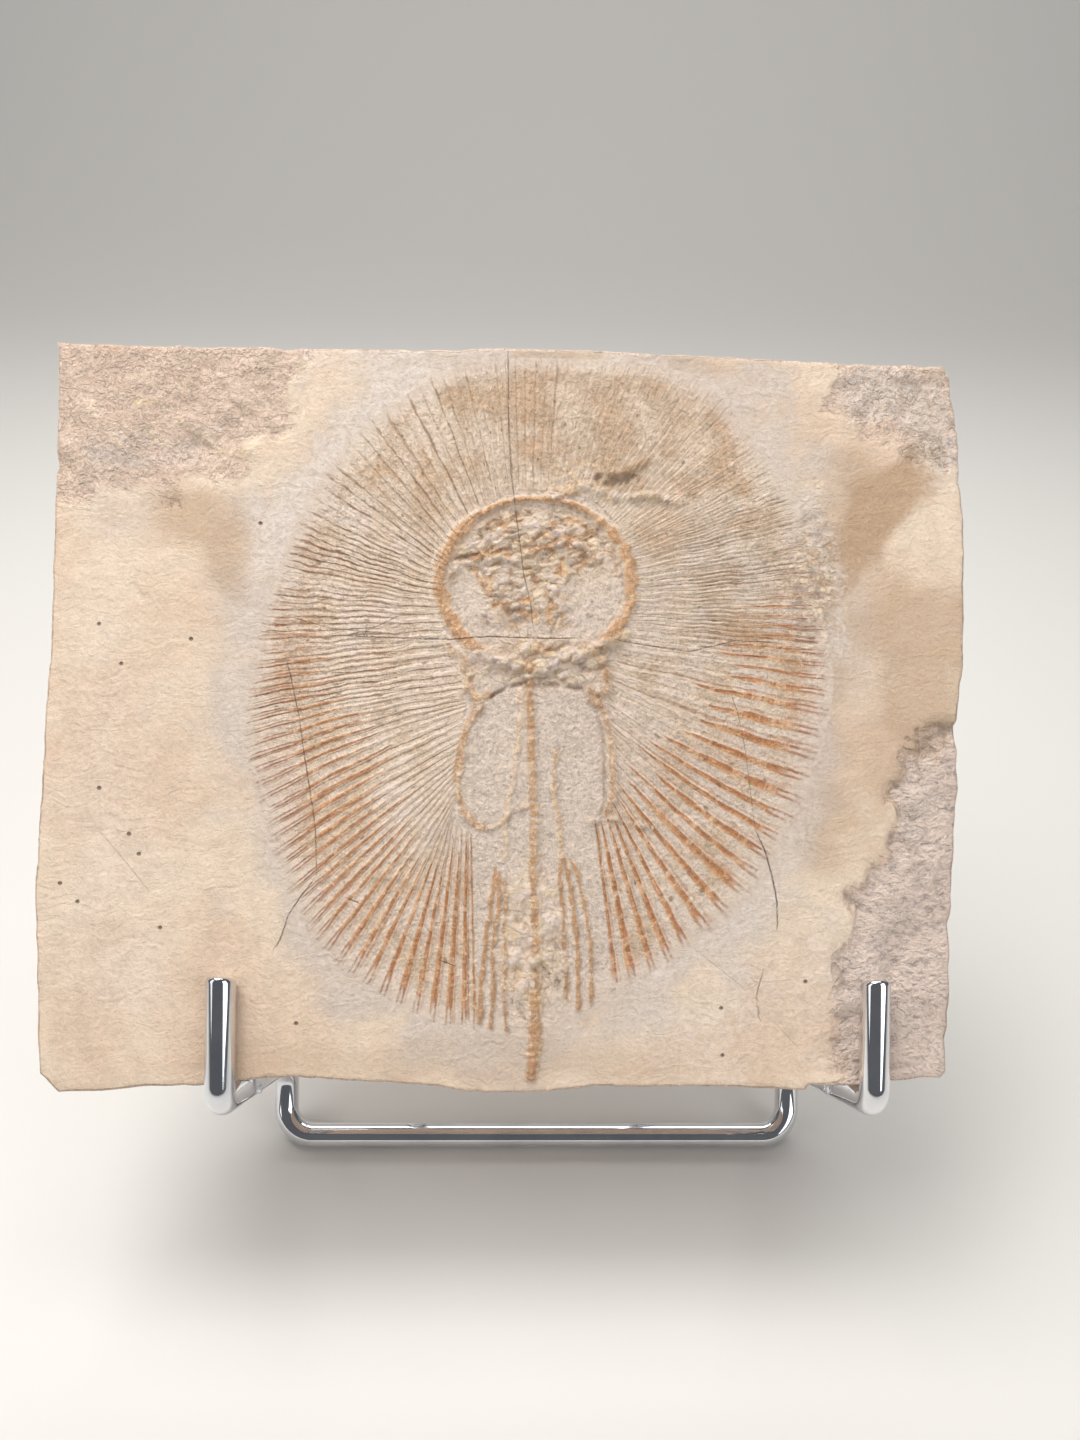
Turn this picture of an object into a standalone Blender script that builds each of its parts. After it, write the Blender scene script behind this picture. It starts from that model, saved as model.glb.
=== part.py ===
"""A fossil ray in a limestone slab, leaning on a chrome rod easel.

Sizes below are in millimetres and are turned into metres where the meshes are made.
The slab has its own frame: u to the right, v up along its face, w out of its face.
v = 0 is the lower edge that the hooks carry, and u = 0 is midway between the hooks.
"""
import math

import bmesh
import bpy
from mathutils import Matrix, Vector
from mathutils.geometry import delaunay_2d_cdt

MM = 0.001

# Lean and slab
LEAN_DEGREES = 32.0
SLAB_THICKNESS = 13.0
EDGE_CHAMFER = 1.0
WALL_ROUGHNESS = 0.8

# Chrome rods
ROD_RADIUS = 2.5
ROD_SIDES = 12
BEND_STEPS = 4
HOOK_HALF_SPACING = 52.8
HOOK_TIP = 18.0
HOOK_CENTRE = 3.0
HOOK_BEND = 4.5
HOOK_BOTTOM = -3.3
ARM_DROP_DEGREES = 10.5
ARM_REACH = 51.0
ARM_BEND = 5.0
FRONT_FOOT_BEND = 6.0
FRONT_FOOT_DROP = 27.7
WELD_GAP = 0.3
REST_TOP = 94.0
REST_BEND = 14.0
REAR_LEG_HALF_SPACING = 30.0
REAR_LEG_BEND = 7.0
REAR_LEG_STUB = 11.0
REAR_FOOT_DISTANCE = 68.0

# Fossil relief heights
RAY_RIDGE = 0.55
DISC_SINK = 0.35
RING_RIDGE = 1.0
RING_CENTRE = (-2.2, 82.2)
RING_RADII = (14.0, 12.9)
RING_HALF_WIDTH = 1.3
SPINE_RIDGE = 0.9
SPINE_HALF_WIDTH = 1.1
BEAD_SPACING = 3.2
BODY_CENTRE = (-2.5, 60.0)

# Spacing of the mesh's points
RING_STEPS = 40
BODY_GRID = 2.2
STONE_GRID = 7.5
OUTLINE_SPACING = 7.5
LEDGE_HALF_WIDTH = 0.45

# Outline of the slab's face, clockwise from its top left corner
OUTLINE = [
    (-80.5, 119), (-58, 119), (-34.5, 119), (-17, 119.3), (-8, 120), (13.5, 119.5), (33, 119),
    (50.5, 118.5), (63.5, 118.5), (65, 116.5), (65, 113.5), (66.3, 107), (66.5, 99.5), (67.5, 90),
    (67.5, 70), (66.5, 60), (67, 48.5), (66.5, 35.5), (66, 17.5), (65.5, 2), (64.5, 1), (51, 0),
    (42.6, -0.2), (42, -1), (24.5, -0.5), (6.5, -0.5), (-3, -1.5), (-13, -1.5), (-18, -0.5),
    (-34, 0.5), (-42, 1), (-51, 0.5), (-56.5, -0.3), (-64.5, -0.5), (-72.5, -1.5), (-79, -1.5),
    (-82, 1.5), (-82.5, 9.5), (-83, 31.5), (-82, 54), (-81, 74.5), (-80.5, 100.5),
]

# Broken steps on the face: the line of each step, and how far the stone outside it lies lower
LEDGES = [
    ([(70, 61), (60, 46), (55, 34.5), (50, 26), (49, 14.5), (53, -4)], 1.3),
    ([(-84, 100), (-62, 98), (-46, 103), (-42, 122)], 0.6),
    ([(47, 122), (48, 108), (70, 104)], 0.9),
]

# The fin rays run once round the disc, from its lower left over the top to its lower right.
# Each row: number of the ray, where it leaves the body, where it ends, and how far it bows up.
RAYS = [
    (0, (-13, 40.5), (-11.5, 9), 0), (2, (-15, 41.5), (-16.5, 9.5), 0),
    (4, (-16.5, 43), (-22, 11.5), 0), (8, (-16, 46.5), (-32.5, 18), 0),
    (11, (-16, 49.5), (-38.5, 23.5), 0), (14, (-15.5, 54.5), (-44, 35.5), 0.6),
    (19, (-14.5, 61), (-47, 46), 1), (22, (-14.5, 62.5), (-49.5, 52.5), 1),
    (26, (-15.5, 66.5), (-49.5, 60.5), 0.5), (28, (-16.5, 70.5), (-48.5, 65), 0),
    (31, (-18.5, 74), (-47.5, 72), 0), (35, (-19, 77.5), (-45.5, 79), 0),
    (40, (-18.5, 80.5), (-42.5, 87), 0), (46, (-18, 84), (-38.5, 96.5), 0),
    (52, (-17, 86.5), (-33.5, 104), 0), (56, (-15.5, 90), (-28, 109), 0),
    (62, (-12, 93.5), (-20, 115), 0), (66, (-9, 95.5), (-13, 117.5), 0),
    (70, (-6, 96.5), (-6.5, 118), 0), (74, (-1, 96.5), (0.5, 118), 0),
    (81, (5.5, 95.5), (14, 117.8), 0), (85, (7.5, 94), (21.5, 116), 0),
    (90, (9.5, 92), (27.5, 112), 0), (94, (10.5, 90), (32, 105.5), 0),
    (99, (12, 87.5), (36, 99), 0), (104, (12.5, 85), (40, 92), 0),
    (108, (13.5, 81.5), (42.5, 85.5), 0), (112, (13, 78), (44, 78.5), 0),
    (115, (12, 75), (44.5, 73), 0), (119, (9.5, 70), (45.5, 64.5), 0),
    (122, (8.5, 67), (44, 57), -0.7), (125, (8.5, 63.5), (41.5, 48.5), -1.2),
    (130, (8.5, 58), (35.5, 37), -1.3), (133, (8.5, 53), (31, 30.5), -1),
    (137, (9, 47), (21, 21.5), 0), (140, (8.5, 44), (15.5, 18), 0), (142, (6.5, 43), (9.5, 15.5), 0),
]
LAST_RAY = 142
RAY_SHARES = (0.0, 0.12, 0.36, 0.64, 0.88, 1.0)

# The rim between the last ray and the first, below the tail
TAIL_RIM = [(7.5, 13), (4.5, 11), (2, 9), (-0.8, 8), (-2.7, 7.8), (-4.6, 8), (-8, 8.5)]

# Spine, from the shoulders to the end of the tail
SPINE = [(-4, 68), (-4, 62.5), (-3.5, 53), (-3, 43), (-3, 33.5), (-2.5, 23.5), (-2.5, 13.5), (-3, 1.5)]

# Lumps of bone and hollows in the body: place, half size across, half size up, height
LUMPS = [
    (-9, 66.5, 6.5, 2.4, 1.2), (4, 67.5, 6.5, 2.4, 1.2), (-2.5, 71, 3, 2.5, 0.9),
    (-3, 88, 7, 3, 0.9), (4.5, 86.5, 5, 2, 0.8), (-8.5, 82.5, 2.5, 4.5, 0.7), (-1, 78.5, 3, 4.5, 0.9),
    (-12.5, 79, 3.2, 5, -0.5), (7, 78.5, 4, 5.5, -0.5), (-10, 54, 4.2, 9.5, -0.5), (3.5, 54, 4.2, 9.5, -0.5),
    (11.5, 43.2, 6, 1, 0.7), (-3, 30, 5, 3.5, 0.8), (-3, 21.5, 5.5, 2.6, 1.0), (-9.5, 25, 1.6, 9, 0.5),
    (3.5, 25, 1.8, 9, 0.5),
]


def clear_scene():
    for item in list(bpy.data.objects):
        bpy.data.objects.remove(item, do_unlink=True)


def material(name, colour, roughness, metallic):
    finish = bpy.data.materials.new(name)
    finish.use_nodes = True
    shader = finish.node_tree.nodes["Principled BSDF"]
    shader.inputs["Base Color"].default_value = (*colour, 1)
    shader.inputs["Roughness"].default_value = roughness
    shader.inputs["Metallic"].default_value = metallic
    return finish


def add_object(name, bm, finish, parent, smooth_angle):
    mesh = bpy.data.meshes.new(name)
    bm.to_mesh(mesh)
    bm.free()
    mesh.materials.append(finish)
    mesh.shade_smooth()
    mesh.set_sharp_from_angle(angle=math.radians(smooth_angle))
    item = bpy.data.objects.new(name, mesh)
    bpy.context.scene.collection.objects.link(item)
    item.parent = parent
    return item


# ---- Slab frame -------------------------------------------------------------------------------

def foot_height():
    """Height of the front foot bar's axis: the rod rests on a flat of its twelve sides."""
    return ROD_RADIUS * math.cos(math.pi / ROD_SIDES)


def slab_frame():
    """Matrix from (u, -w, v) in millimetres to the leaning slab, with the front foot on the floor."""
    lean = math.radians(LEAN_DEGREES)
    lift = FRONT_FOOT_DROP * math.cos(lean) + ARM_REACH * math.sin(lean) + foot_height()
    return Matrix.Translation((0, 0, lift)) @ Matrix.Rotation(-lean, 4, "X")


def place(u, v, w):
    return slab_frame() @ Vector((u, -w, v))


# ---- Rods -------------------------------------------------------------------------------------

def bent_path(points, bends):
    """The line through the points, with an arc of the given radius at each inner one."""
    path = [points[0]]
    for before, corner, after, radius in zip(points, points[1:], points[2:], bends):
        inward = (before - corner).normalized()
        onward = (after - corner).normalized()
        half = inward.angle(onward) / 2
        centre = corner + (inward + onward).normalized() * radius / math.sin(half)
        start = corner + inward * radius / math.tan(half)
        turn_axis = (start - centre).cross(-inward)
        swing = math.pi - 2 * half
        for step in range(BEND_STEPS + 1):
            turn = Matrix.Rotation(swing * step / BEND_STEPS, 3, turn_axis)
            path.append(centre + turn @ (start - centre))
    path.append(points[-1])
    return path


def join_rows(bm, first, second):
    count = len(first)
    for k in range(count):
        following = (k + 1) % count
        bm.faces.new((first[k], first[following], second[following], second[k]))


def half_rod(path, domed):
    """A rod's right half, from its open middle at u = 0 to a domed or flat end."""
    bm = bmesh.new()
    tangent = Vector((1, 0, 0))
    side = Matrix.Rotation(math.pi / ROD_SIDES, 3, tangent) @ Vector((0, 0, 1))
    rings = []
    for index, point in enumerate(path):
        before = path[max(index - 1, 0)]
        after = path[min(index + 1, len(path) - 1)]
        heading = (after - before).normalized() if index else Vector((1, 0, 0))
        side = tangent.rotation_difference(heading) @ side
        tangent = heading
        rings.append((point, side.copy(), tangent.copy(), ROD_RADIUS))
    if domed:
        for degrees in (30, 60):
            rise = ROD_RADIUS * math.sin(math.radians(degrees))
            reach = ROD_RADIUS * math.cos(math.radians(degrees))
            rings.append((path[-1] + tangent * rise, side, tangent, reach))
    loops = []
    for point, outward, along, radius in rings:
        turns = [Matrix.Rotation(2 * math.pi * k / ROD_SIDES, 3, along) for k in range(ROD_SIDES)]
        loops.append([bm.verts.new((point + turn @ outward * radius) * MM) for turn in turns])
    for first, second in zip(loops, loops[1:]):
        join_rows(bm, first, second)
    if domed:
        tip = bm.verts.new((path[-1] + tangent * ROD_RADIUS) * MM)
        for k in range(ROD_SIDES):
            bm.faces.new((loops[-1][k], loops[-1][(k + 1) % ROD_SIDES], tip))
    else:
        bm.faces.new(loops[-1])
    return bm


def rod(name, points, bends, domed, finish, parent):
    bm = half_rod(bent_path(points, bends), domed)
    bmesh.ops.recalc_face_normals(bm, faces=bm.faces)
    item = add_object(name, bm, finish, parent, 40)
    mirror = item.modifiers.new("Left half", "MIRROR")
    mirror.use_axis = (True, False, False)
    mirror.merge_threshold = 0.00001
    return item


def carrier_rod(finish, parent):
    """Foot bar, short legs, arms under the slab, and the two hooks that hold its lower edge."""
    drop = math.tan(math.radians(ARM_DROP_DEGREES))
    arm_end = HOOK_BOTTOM - drop * (ARM_REACH + HOOK_CENTRE)
    half = HOOK_HALF_SPACING
    points = [
        place(0, -FRONT_FOOT_DROP, -ARM_REACH),
        place(half, -FRONT_FOOT_DROP, -ARM_REACH),
        place(half, arm_end, -ARM_REACH),
        place(half, HOOK_BOTTOM, HOOK_CENTRE),
        place(half, HOOK_TIP - ROD_RADIUS, HOOK_CENTRE),
    ]
    return rod("carrier_rod", points, [FRONT_FOOT_BEND, ARM_BEND, HOOK_BEND], True, finish, parent)


def rest_depth():
    return SLAB_THICKNESS + WELD_GAP + ROD_RADIUS


def back_rest(finish, parent):
    """An arch that stands on the arms and carries the slab's back."""
    arm_top = HOOK_BOTTOM - math.tan(math.radians(ARM_DROP_DEGREES)) * (rest_depth() + HOOK_CENTRE)
    foot = arm_top + ROD_RADIUS / math.cos(math.radians(ARM_DROP_DEGREES)) + 2 * WELD_GAP
    half = HOOK_HALF_SPACING
    points = [
        place(0, REST_TOP, -rest_depth()),
        place(half, REST_TOP, -rest_depth()),
        place(half, foot + WELD_GAP, -rest_depth()),
    ]
    return rod("back_rest", points, [REST_BEND], False, finish, parent)


def rear_leg(finish, parent):
    """A U that leaves the back rest's top bar, bends down and stands on the floor behind."""
    front_foot = place(0, -FRONT_FOOT_DROP, -ARM_REACH)
    rear_foot = Vector((0, front_foot.y + REAR_FOOT_DISTANCE, foot_height()))
    aside = Vector((REAR_LEG_HALF_SPACING, 0, 0))
    butt = rest_depth() + ROD_RADIUS + WELD_GAP
    points = [
        rear_foot,
        rear_foot + aside,
        place(REAR_LEG_HALF_SPACING, REST_TOP, -butt - REAR_LEG_STUB),
        place(REAR_LEG_HALF_SPACING, REST_TOP, -butt),
    ]
    return rod("rear_leg", points, [FRONT_FOOT_BEND, REAR_LEG_BEND], False, finish, parent)


# ---- Slab -------------------------------------------------------------------------------------

def smooth_step(value):
    value = min(max(value, 0.0), 1.0)
    return value * value * (3 - 2 * value)


def between(first, second, share):
    return (first[0] + (second[0] - first[0]) * share, first[1] + (second[1] - first[1]) * share)


def crossing(start, end, line):
    """Share of the way from start to end where it first meets the line, or None."""
    nearest = None
    du, dv = end[0] - start[0], end[1] - start[1]
    for (u1, v1), (u2, v2) in zip(line, line[1:]):
        eu, ev = u2 - u1, v2 - v1
        cross = du * ev - dv * eu
        if abs(cross) < 1e-9:
            continue
        share = ((u1 - start[0]) * ev - (v1 - start[1]) * eu) / cross
        along = ((u1 - start[0]) * dv - (v1 - start[1]) * du) / cross
        if share > 0 and 0 <= along <= 1 and (nearest is None or share < nearest):
            nearest = share
    return nearest


def beyond(point, line):
    """True where the line lies between the body's middle and the point."""
    share = crossing(BODY_CENTRE, point, line)
    return share is not None and share < 1


def inside(point, loop):
    """True where a closed loop of points goes round the point."""
    within = False
    for (u1, v1), (u2, v2) in zip(loop, loop[1:] + loop[:1]):
        if (v1 > point[1]) != (v2 > point[1]) and point[0] < u1 + (u2 - u1) * (point[1] - v1) / (v2 - v1):
            within = not within
    return within


def spaced(line, spacing):
    """Points along a line, no further apart than the spacing, with the line's own points kept."""
    points = []
    for first, second in zip(line, line[1:]):
        count = max(1, math.ceil(math.dist(first, second) / spacing))
        points += [between(first, second, step / count) for step in range(count)]
    return points + [line[-1]]


def table_row(rows, number):
    """The row of a ray table at any number, worked out between the two rows beside it."""
    for (low, inner_a, rim_a, bow_a), (high, inner_b, rim_b, bow_b) in zip(rows, rows[1:]):
        if low <= number <= high:
            share = (number - low) / (high - low)
            bow = bow_a + (bow_b - bow_a) * share
            return between(inner_a, inner_b, share), between(rim_a, rim_b, share), bow
    raise ValueError(number)


def along_ray(column, share):
    """Place on the face, the given share of the way along a ray or the groove beside it."""
    inner, rim, bow = table_row(RAYS, column / 2)
    u, v = between(inner, rim, share)
    return u, v + bow * 4 * share * (1 - share)


def spine_place(v):
    for (u1, v1), (u2, v2) in zip(SPINE, SPINE[1:]):
        if v2 <= v <= v1:
            return u1 + (u2 - u1) * (v - v1) / (v2 - v1)
    return None


def ring_relief(u, v):
    ratio = math.hypot((u - RING_CENTRE[0]) / RING_RADII[0], (v - RING_CENTRE[1]) / RING_RADII[1])
    return RING_RIDGE * smooth_step(1.15 - abs(ratio - 1) * RING_RADII[0] / RING_HALF_WIDTH)


def spine_relief(u, v):
    middle = spine_place(v)
    if middle is None:
        return 0.0
    bead = 0.8 + 0.2 * math.cos(2 * math.pi * v / BEAD_SPACING)
    return SPINE_RIDGE * bead * smooth_step(1.2 - abs(u - middle) / SPINE_HALF_WIDTH)


def face_height(u, v):
    """How far the stone's face stands out at a place off the rays."""
    height = 0.12 * math.sin(u * 0.11 + 1.0) * math.cos(v * 0.09) - 0.12
    height += ring_relief(u, v) + spine_relief(u, v)
    for centre_u, centre_v, half_u, half_v, rise in LUMPS:
        height += rise * smooth_step(1.3 - math.hypot((u - centre_u) / half_u, (v - centre_v) / half_v))
    for line, depth in LEDGES:
        if beyond((u, v), line):
            height -= depth
    return height


def ray_height(column, share):
    """Rays stand up as ridges between grooves, and die away at the body and at their tips."""
    u, v = along_ray(column, share)
    groove = DISC_SINK * smooth_step(share * 5) * smooth_step((1 - share) * 8)
    ridge = RAY_RIDGE * smooth_step(share * 4 + 0.4) * smooth_step((1.15 - share) * 5)
    return face_height(u, v) - groove + (ridge if column % 2 == 0 else 0)


class Face:
    """The mesh of the slab, with each point's place (u, v) on the face kept beside it."""

    def __init__(self):
        self.bm = bmesh.new()
        self.places = {}

    def point(self, u, v, w):
        vertex = self.bm.verts.new(Vector((u, -w, v)) * MM)
        self.places[vertex] = (u, v)
        return vertex

    def strip(self, first, second, closed):
        count = len(first) if closed else len(first) - 1
        for k in range(count):
            following = (k + 1) % len(first)
            self.bm.faces.new((first[k], first[following], second[following], second[k]))

    def patch(self, loops, points, keep):
        """Triangles between closed loops of points already made, through loose points inside."""
        corners = [vertex for loop in loops for vertex in loop]
        edges = []
        for loop in loops:
            first = corners.index(loop[0])
            edges += [(first + k, first + (k + 1) % len(loop)) for k in range(len(loop))]
        places = [Vector(self.places[vertex]) for vertex in corners] + [Vector(place) for place in points]
        made, _, faces, sources, _, _ = delaunay_2d_cdt(places, edges, [], 1, 1e-4)
        vertices = []
        for place, source in zip(made, sources):
            known = [index for index in source if index < len(corners)]
            vertices.append(corners[known[0]] if known else self.point(*place, face_height(*place)))
        for face in faces:
            middle = sum((made[index] for index in face), Vector((0, 0))) / len(face)
            if keep(middle):
                self.bm.faces.new([vertices[index] for index in face])


def body_points(loop):
    """Points that carry the relief of the snout's ring, the spine and the lumps of bone."""
    points = []
    for step in range(RING_STEPS):
        turn = 2 * math.pi * step / RING_STEPS
        for offset in (-1.1, -0.45, 0.45, 1.1):
            reach = 1 + offset * RING_HALF_WIDTH / RING_RADII[0]
            points.append((
                RING_CENTRE[0] + RING_RADII[0] * reach * math.cos(turn),
                RING_CENTRE[1] + RING_RADII[1] * reach * math.sin(turn),
            ))
    v = SPINE[0][1]
    while v > SPINE[-1][1]:
        points += [(spine_place(v) + side * SPINE_HALF_WIDTH, v) for side in (-1.15, -0.4, 0.4, 1.15)]
        v -= BEAD_SPACING / 2
    taken = list(points)
    for column in range(-9, 9):
        for line in range(0, 44):
            place = (BODY_CENTRE[0] + column * BODY_GRID, 4 + line * BODY_GRID + (column % 2) * BODY_GRID / 2)
            if all(math.dist(place, other) > BODY_GRID * 0.55 for other in taken):
                points.append(place)
    edge = [place for place in loop]
    clear = BODY_GRID * 0.3
    return [
        place for place in points
        if inside(place, edge) and all(math.dist(place, other) > clear for other in edge)
    ]


def stone_points(rim, margin):
    """Points of the bare stone: a pair of lines at each broken step, and an open grid."""
    points = []
    for line, _ in LEDGES:
        for first, second in zip(spaced(line, 3), spaced(line, 3)[1:]):
            side = Vector((second[1] - first[1], first[0] - second[0])).normalized() * LEDGE_HALF_WIDTH
            points += [(first[0] + side.x, first[1] + side.y), (first[0] - side.x, first[1] - side.y)]
    v = SPINE[-2][1]
    while v > SPINE[-1][1]:
        points += [(spine_place(v) + side * SPINE_HALF_WIDTH, v) for side in (-1.15, -0.4, 0.4, 1.15)]
        v -= BEAD_SPACING / 2
    taken = list(points)
    for column in range(-11, 12):
        for line in range(0, 18):
            place = (column * STONE_GRID + 0.7 * math.sin(line * 2.3), line * STONE_GRID + 0.7 * math.sin(column * 1.9))
            if all(math.dist(place, other) > STONE_GRID * 0.5 for other in taken):
                points.append(place)
    return [
        place for place in points
        if inside(place, margin) and not inside(place, rim)
        and all(math.dist(place, other) > 0.6 for other in rim + margin)
    ]


def fin_rays(face):
    """Rows of points across all the rays, two columns to a ray, from the body to the rim."""
    rows = []
    for share in RAY_SHARES:
        columns = range(2 * LAST_RAY + 1)
        rows.append([face.point(*along_ray(column, share), ray_height(column, share)) for column in columns])
    for first, second in zip(rows, rows[1:]):
        face.strip(first, second, False)
    return rows


def slab_edge(face, margin):
    """The chamfer, the broken wall and the flat back behind the face's outer row."""
    bottom = -SLAB_THICKNESS
    outline = closed_outline()
    edge, hollow, back_edge, back = [], [], [], []
    for k, ((u, v), (inner_u, inner_v)) in enumerate(zip(outline, [face.places[vertex] for vertex in margin])):
        near_hook = abs(abs(u) - HOOK_HALF_SPACING) < 6 and v < 5
        wear = 0 if near_hook else WALL_ROUGHNESS * abs(math.sin(k * 2.4))
        dip = Vector((inner_u - u, inner_v - v)).normalized() * wear
        edge.append(face.point(u, v, face_height(inner_u, inner_v) - EDGE_CHAMFER))
        hollow.append(face.point(u + dip.x, v + dip.y, bottom * 0.55))
        back_edge.append(face.point(u, v, bottom + EDGE_CHAMFER))
        back.append(face.point(inner_u, inner_v, bottom))
    for first, second in zip([margin, edge, hollow, back_edge], [edge, hollow, back_edge, back]):
        face.strip(first, second, True)
    face.bm.faces.new(back)


def closed_outline():
    return spaced(OUTLINE + OUTLINE[:1], OUTLINE_SPACING)[:-1]


def margin_places():
    """The outline drawn in by the chamfer."""
    outline = closed_outline()
    places = []
    for before, here, after in zip(outline[-1:] + outline[:-1], outline, outline[1:] + outline[:1]):
        run = Vector((after[0] - before[0], after[1] - before[1])).normalized()
        places.append((here[0] + run.y * EDGE_CHAMFER, here[1] - run.x * EDGE_CHAMFER))
    return places


def fossil_slab(finish, parent):
    face = Face()
    rays = fin_rays(face)
    tail = [face.point(u, v, face_height(u, v)) for u, v in TAIL_RIM]
    last_ray = [row[-1] for row in rays[1:]]
    first_ray = [row[0] for row in rays[1:]]
    body_loop = rays[0] + last_ray + tail + first_ray[::-1]
    rim = rays[-1] + tail
    body = body_points([face.places[vertex] for vertex in body_loop])
    margin = [face.point(u, v, face_height(u, v)) for u, v in margin_places()]
    rim_places = [face.places[vertex] for vertex in rim]
    stone = stone_points(rim_places, [face.places[vertex] for vertex in margin])
    face.patch([body_loop], body, lambda middle: True)
    face.patch([margin, rim], stone, lambda middle: not inside(middle, rim_places))
    slab_edge(face, margin)
    bmesh.ops.recalc_face_normals(face.bm, faces=face.bm.faces)
    item = add_object("fossil_slab", face.bm, finish, parent, 35)
    frame = slab_frame()
    item.rotation_euler = frame.to_euler()
    item.location = frame.translation * MM
    return item


# ---- Whole object -----------------------------------------------------------------------------

def stand_on_origin(base, items):
    """Move the base so that the object's box has its bottom centre at the origin."""
    bpy.context.view_layer.update()
    graph = bpy.context.evaluated_depsgraph_get()
    corners = []
    for item in items:
        shape = item.evaluated_get(graph)
        corners += [item.matrix_world @ vertex.co for vertex in shape.data.vertices]
    low = [min(corner[axis] for corner in corners) for axis in range(3)]
    high = [max(corner[axis] for corner in corners) for axis in range(3)]
    base.location = (-(low[0] + high[0]) / 2, -(low[1] + high[1]) / 2, -low[2])


def main():
    clear_scene()
    stone = material("limestone", (0.66, 0.53, 0.41), 0.85, 0.0)
    chrome = material("chrome", (0.82, 0.83, 0.85), 0.08, 1.0)
    base = bpy.data.objects.new("easel_base", None)
    bpy.context.scene.collection.objects.link(base)
    items = [
        fossil_slab(stone, base),
        carrier_rod(chrome, base),
        back_rest(chrome, base),
        rear_leg(chrome, base),
    ]
    stand_on_origin(base, items)


main()
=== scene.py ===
import math
import random

import bpy
import numpy as np
from mathutils import Matrix, Vector, noise


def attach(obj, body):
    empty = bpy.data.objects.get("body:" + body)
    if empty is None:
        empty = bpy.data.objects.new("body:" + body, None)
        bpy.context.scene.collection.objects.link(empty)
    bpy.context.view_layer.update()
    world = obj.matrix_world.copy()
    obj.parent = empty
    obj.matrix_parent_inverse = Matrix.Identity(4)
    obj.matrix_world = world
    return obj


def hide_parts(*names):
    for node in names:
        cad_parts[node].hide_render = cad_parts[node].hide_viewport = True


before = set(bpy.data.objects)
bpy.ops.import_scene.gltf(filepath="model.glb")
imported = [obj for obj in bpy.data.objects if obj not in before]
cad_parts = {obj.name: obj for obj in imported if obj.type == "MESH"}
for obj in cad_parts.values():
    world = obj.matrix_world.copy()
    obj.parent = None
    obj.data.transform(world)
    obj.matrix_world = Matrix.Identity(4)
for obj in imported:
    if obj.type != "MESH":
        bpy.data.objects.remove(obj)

mm = 0.001
mergeWithin, mirrorWithin = 0.000002, 0.00001  # metres
farAway = 90.0  # from the rim of the disc, for the body in its middle
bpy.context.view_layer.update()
print("frame loaded")

# The slab leans back. Its own frame, in millimetres: u to the right, v up along its face, w out of its face
slabStand = {"origin": (7.75, -46.811, 52.932), "lean": 32.0}

lean = math.radians(slabStand["lean"])
upFace = Vector((0, math.sin(lean), math.cos(lean)))
outOfFace = Vector((0, -math.cos(lean), math.sin(lean)))


def onSlab(u, v, w):
    return Vector(slabStand["origin"]) + Vector((u, 0, 0)) + upFace * v + outOfFace * w


def slabToWorld(places, heights):
    u, v = places.T
    x0, y0, z0 = slabStand["origin"]
    spots = np.empty((len(u), 3))
    spots[:, 0] = x0 + u
    spots[:, 1] = y0 + v * upFace.y + heights * outOfFace.y
    spots[:, 2] = z0 + v * upFace.z + heights * outOfFace.z
    return spots * mm


def smooth(value):
    value = np.clip(value, 0.0, 1.0)
    return value * value * (3 - 2 * value)


def tone(red, green, blue):
    # the linear colour of a tone picked on screen
    parts = [part / 255 for part in (red, green, blue)]
    return (*[part / 12.92 if part < 0.04045 else ((part + 0.055) / 1.055) ** 2.4 for part in parts], 1.0)


def closeUp():
    # merges the doubles of the active mesh and turns its faces outwards
    bpy.ops.object.mode_set(mode="EDIT")
    bpy.ops.mesh.select_all(action="SELECT")
    bpy.ops.mesh.remove_doubles(threshold=mergeWithin)
    bpy.ops.mesh.normals_make_consistent(inside=False)
    bpy.ops.object.mode_set(mode="OBJECT")


camera = {
    "focus": (-2.284, 59.289), "distance": 174.2, "swing": 1.8, "roll": 0.7,
    "lens": 26.85, "sensor": 36.0, "nearest": 0.01,
}


def addCamera():
    swing, roll = math.radians(camera["swing"]), math.radians(camera["roll"])
    u, v = camera["focus"]
    place = onSlab(u - camera["distance"] * math.sin(swing), v, camera["distance"] * math.cos(swing))
    back = Vector((-math.sin(swing), 0, 0)) + outOfFace * math.cos(swing)
    right = Vector((math.cos(swing), 0, 0)) + outOfFace * math.sin(swing)
    tiltedRight = right * math.cos(roll) + upFace * math.sin(roll)
    tiltedUp = upFace * math.cos(roll) - right * math.sin(roll)
    bpy.ops.object.camera_add(location=place * mm)
    item = bpy.context.object
    item.rotation_euler = Matrix((tiltedRight, tiltedUp, back)).transposed().to_euler()
    item.data.lens = camera["lens"]
    item.data.sensor_width = camera["sensor"]
    item.data.clip_start = camera["nearest"]
    bpy.context.scene.camera = item


addCamera()


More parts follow.
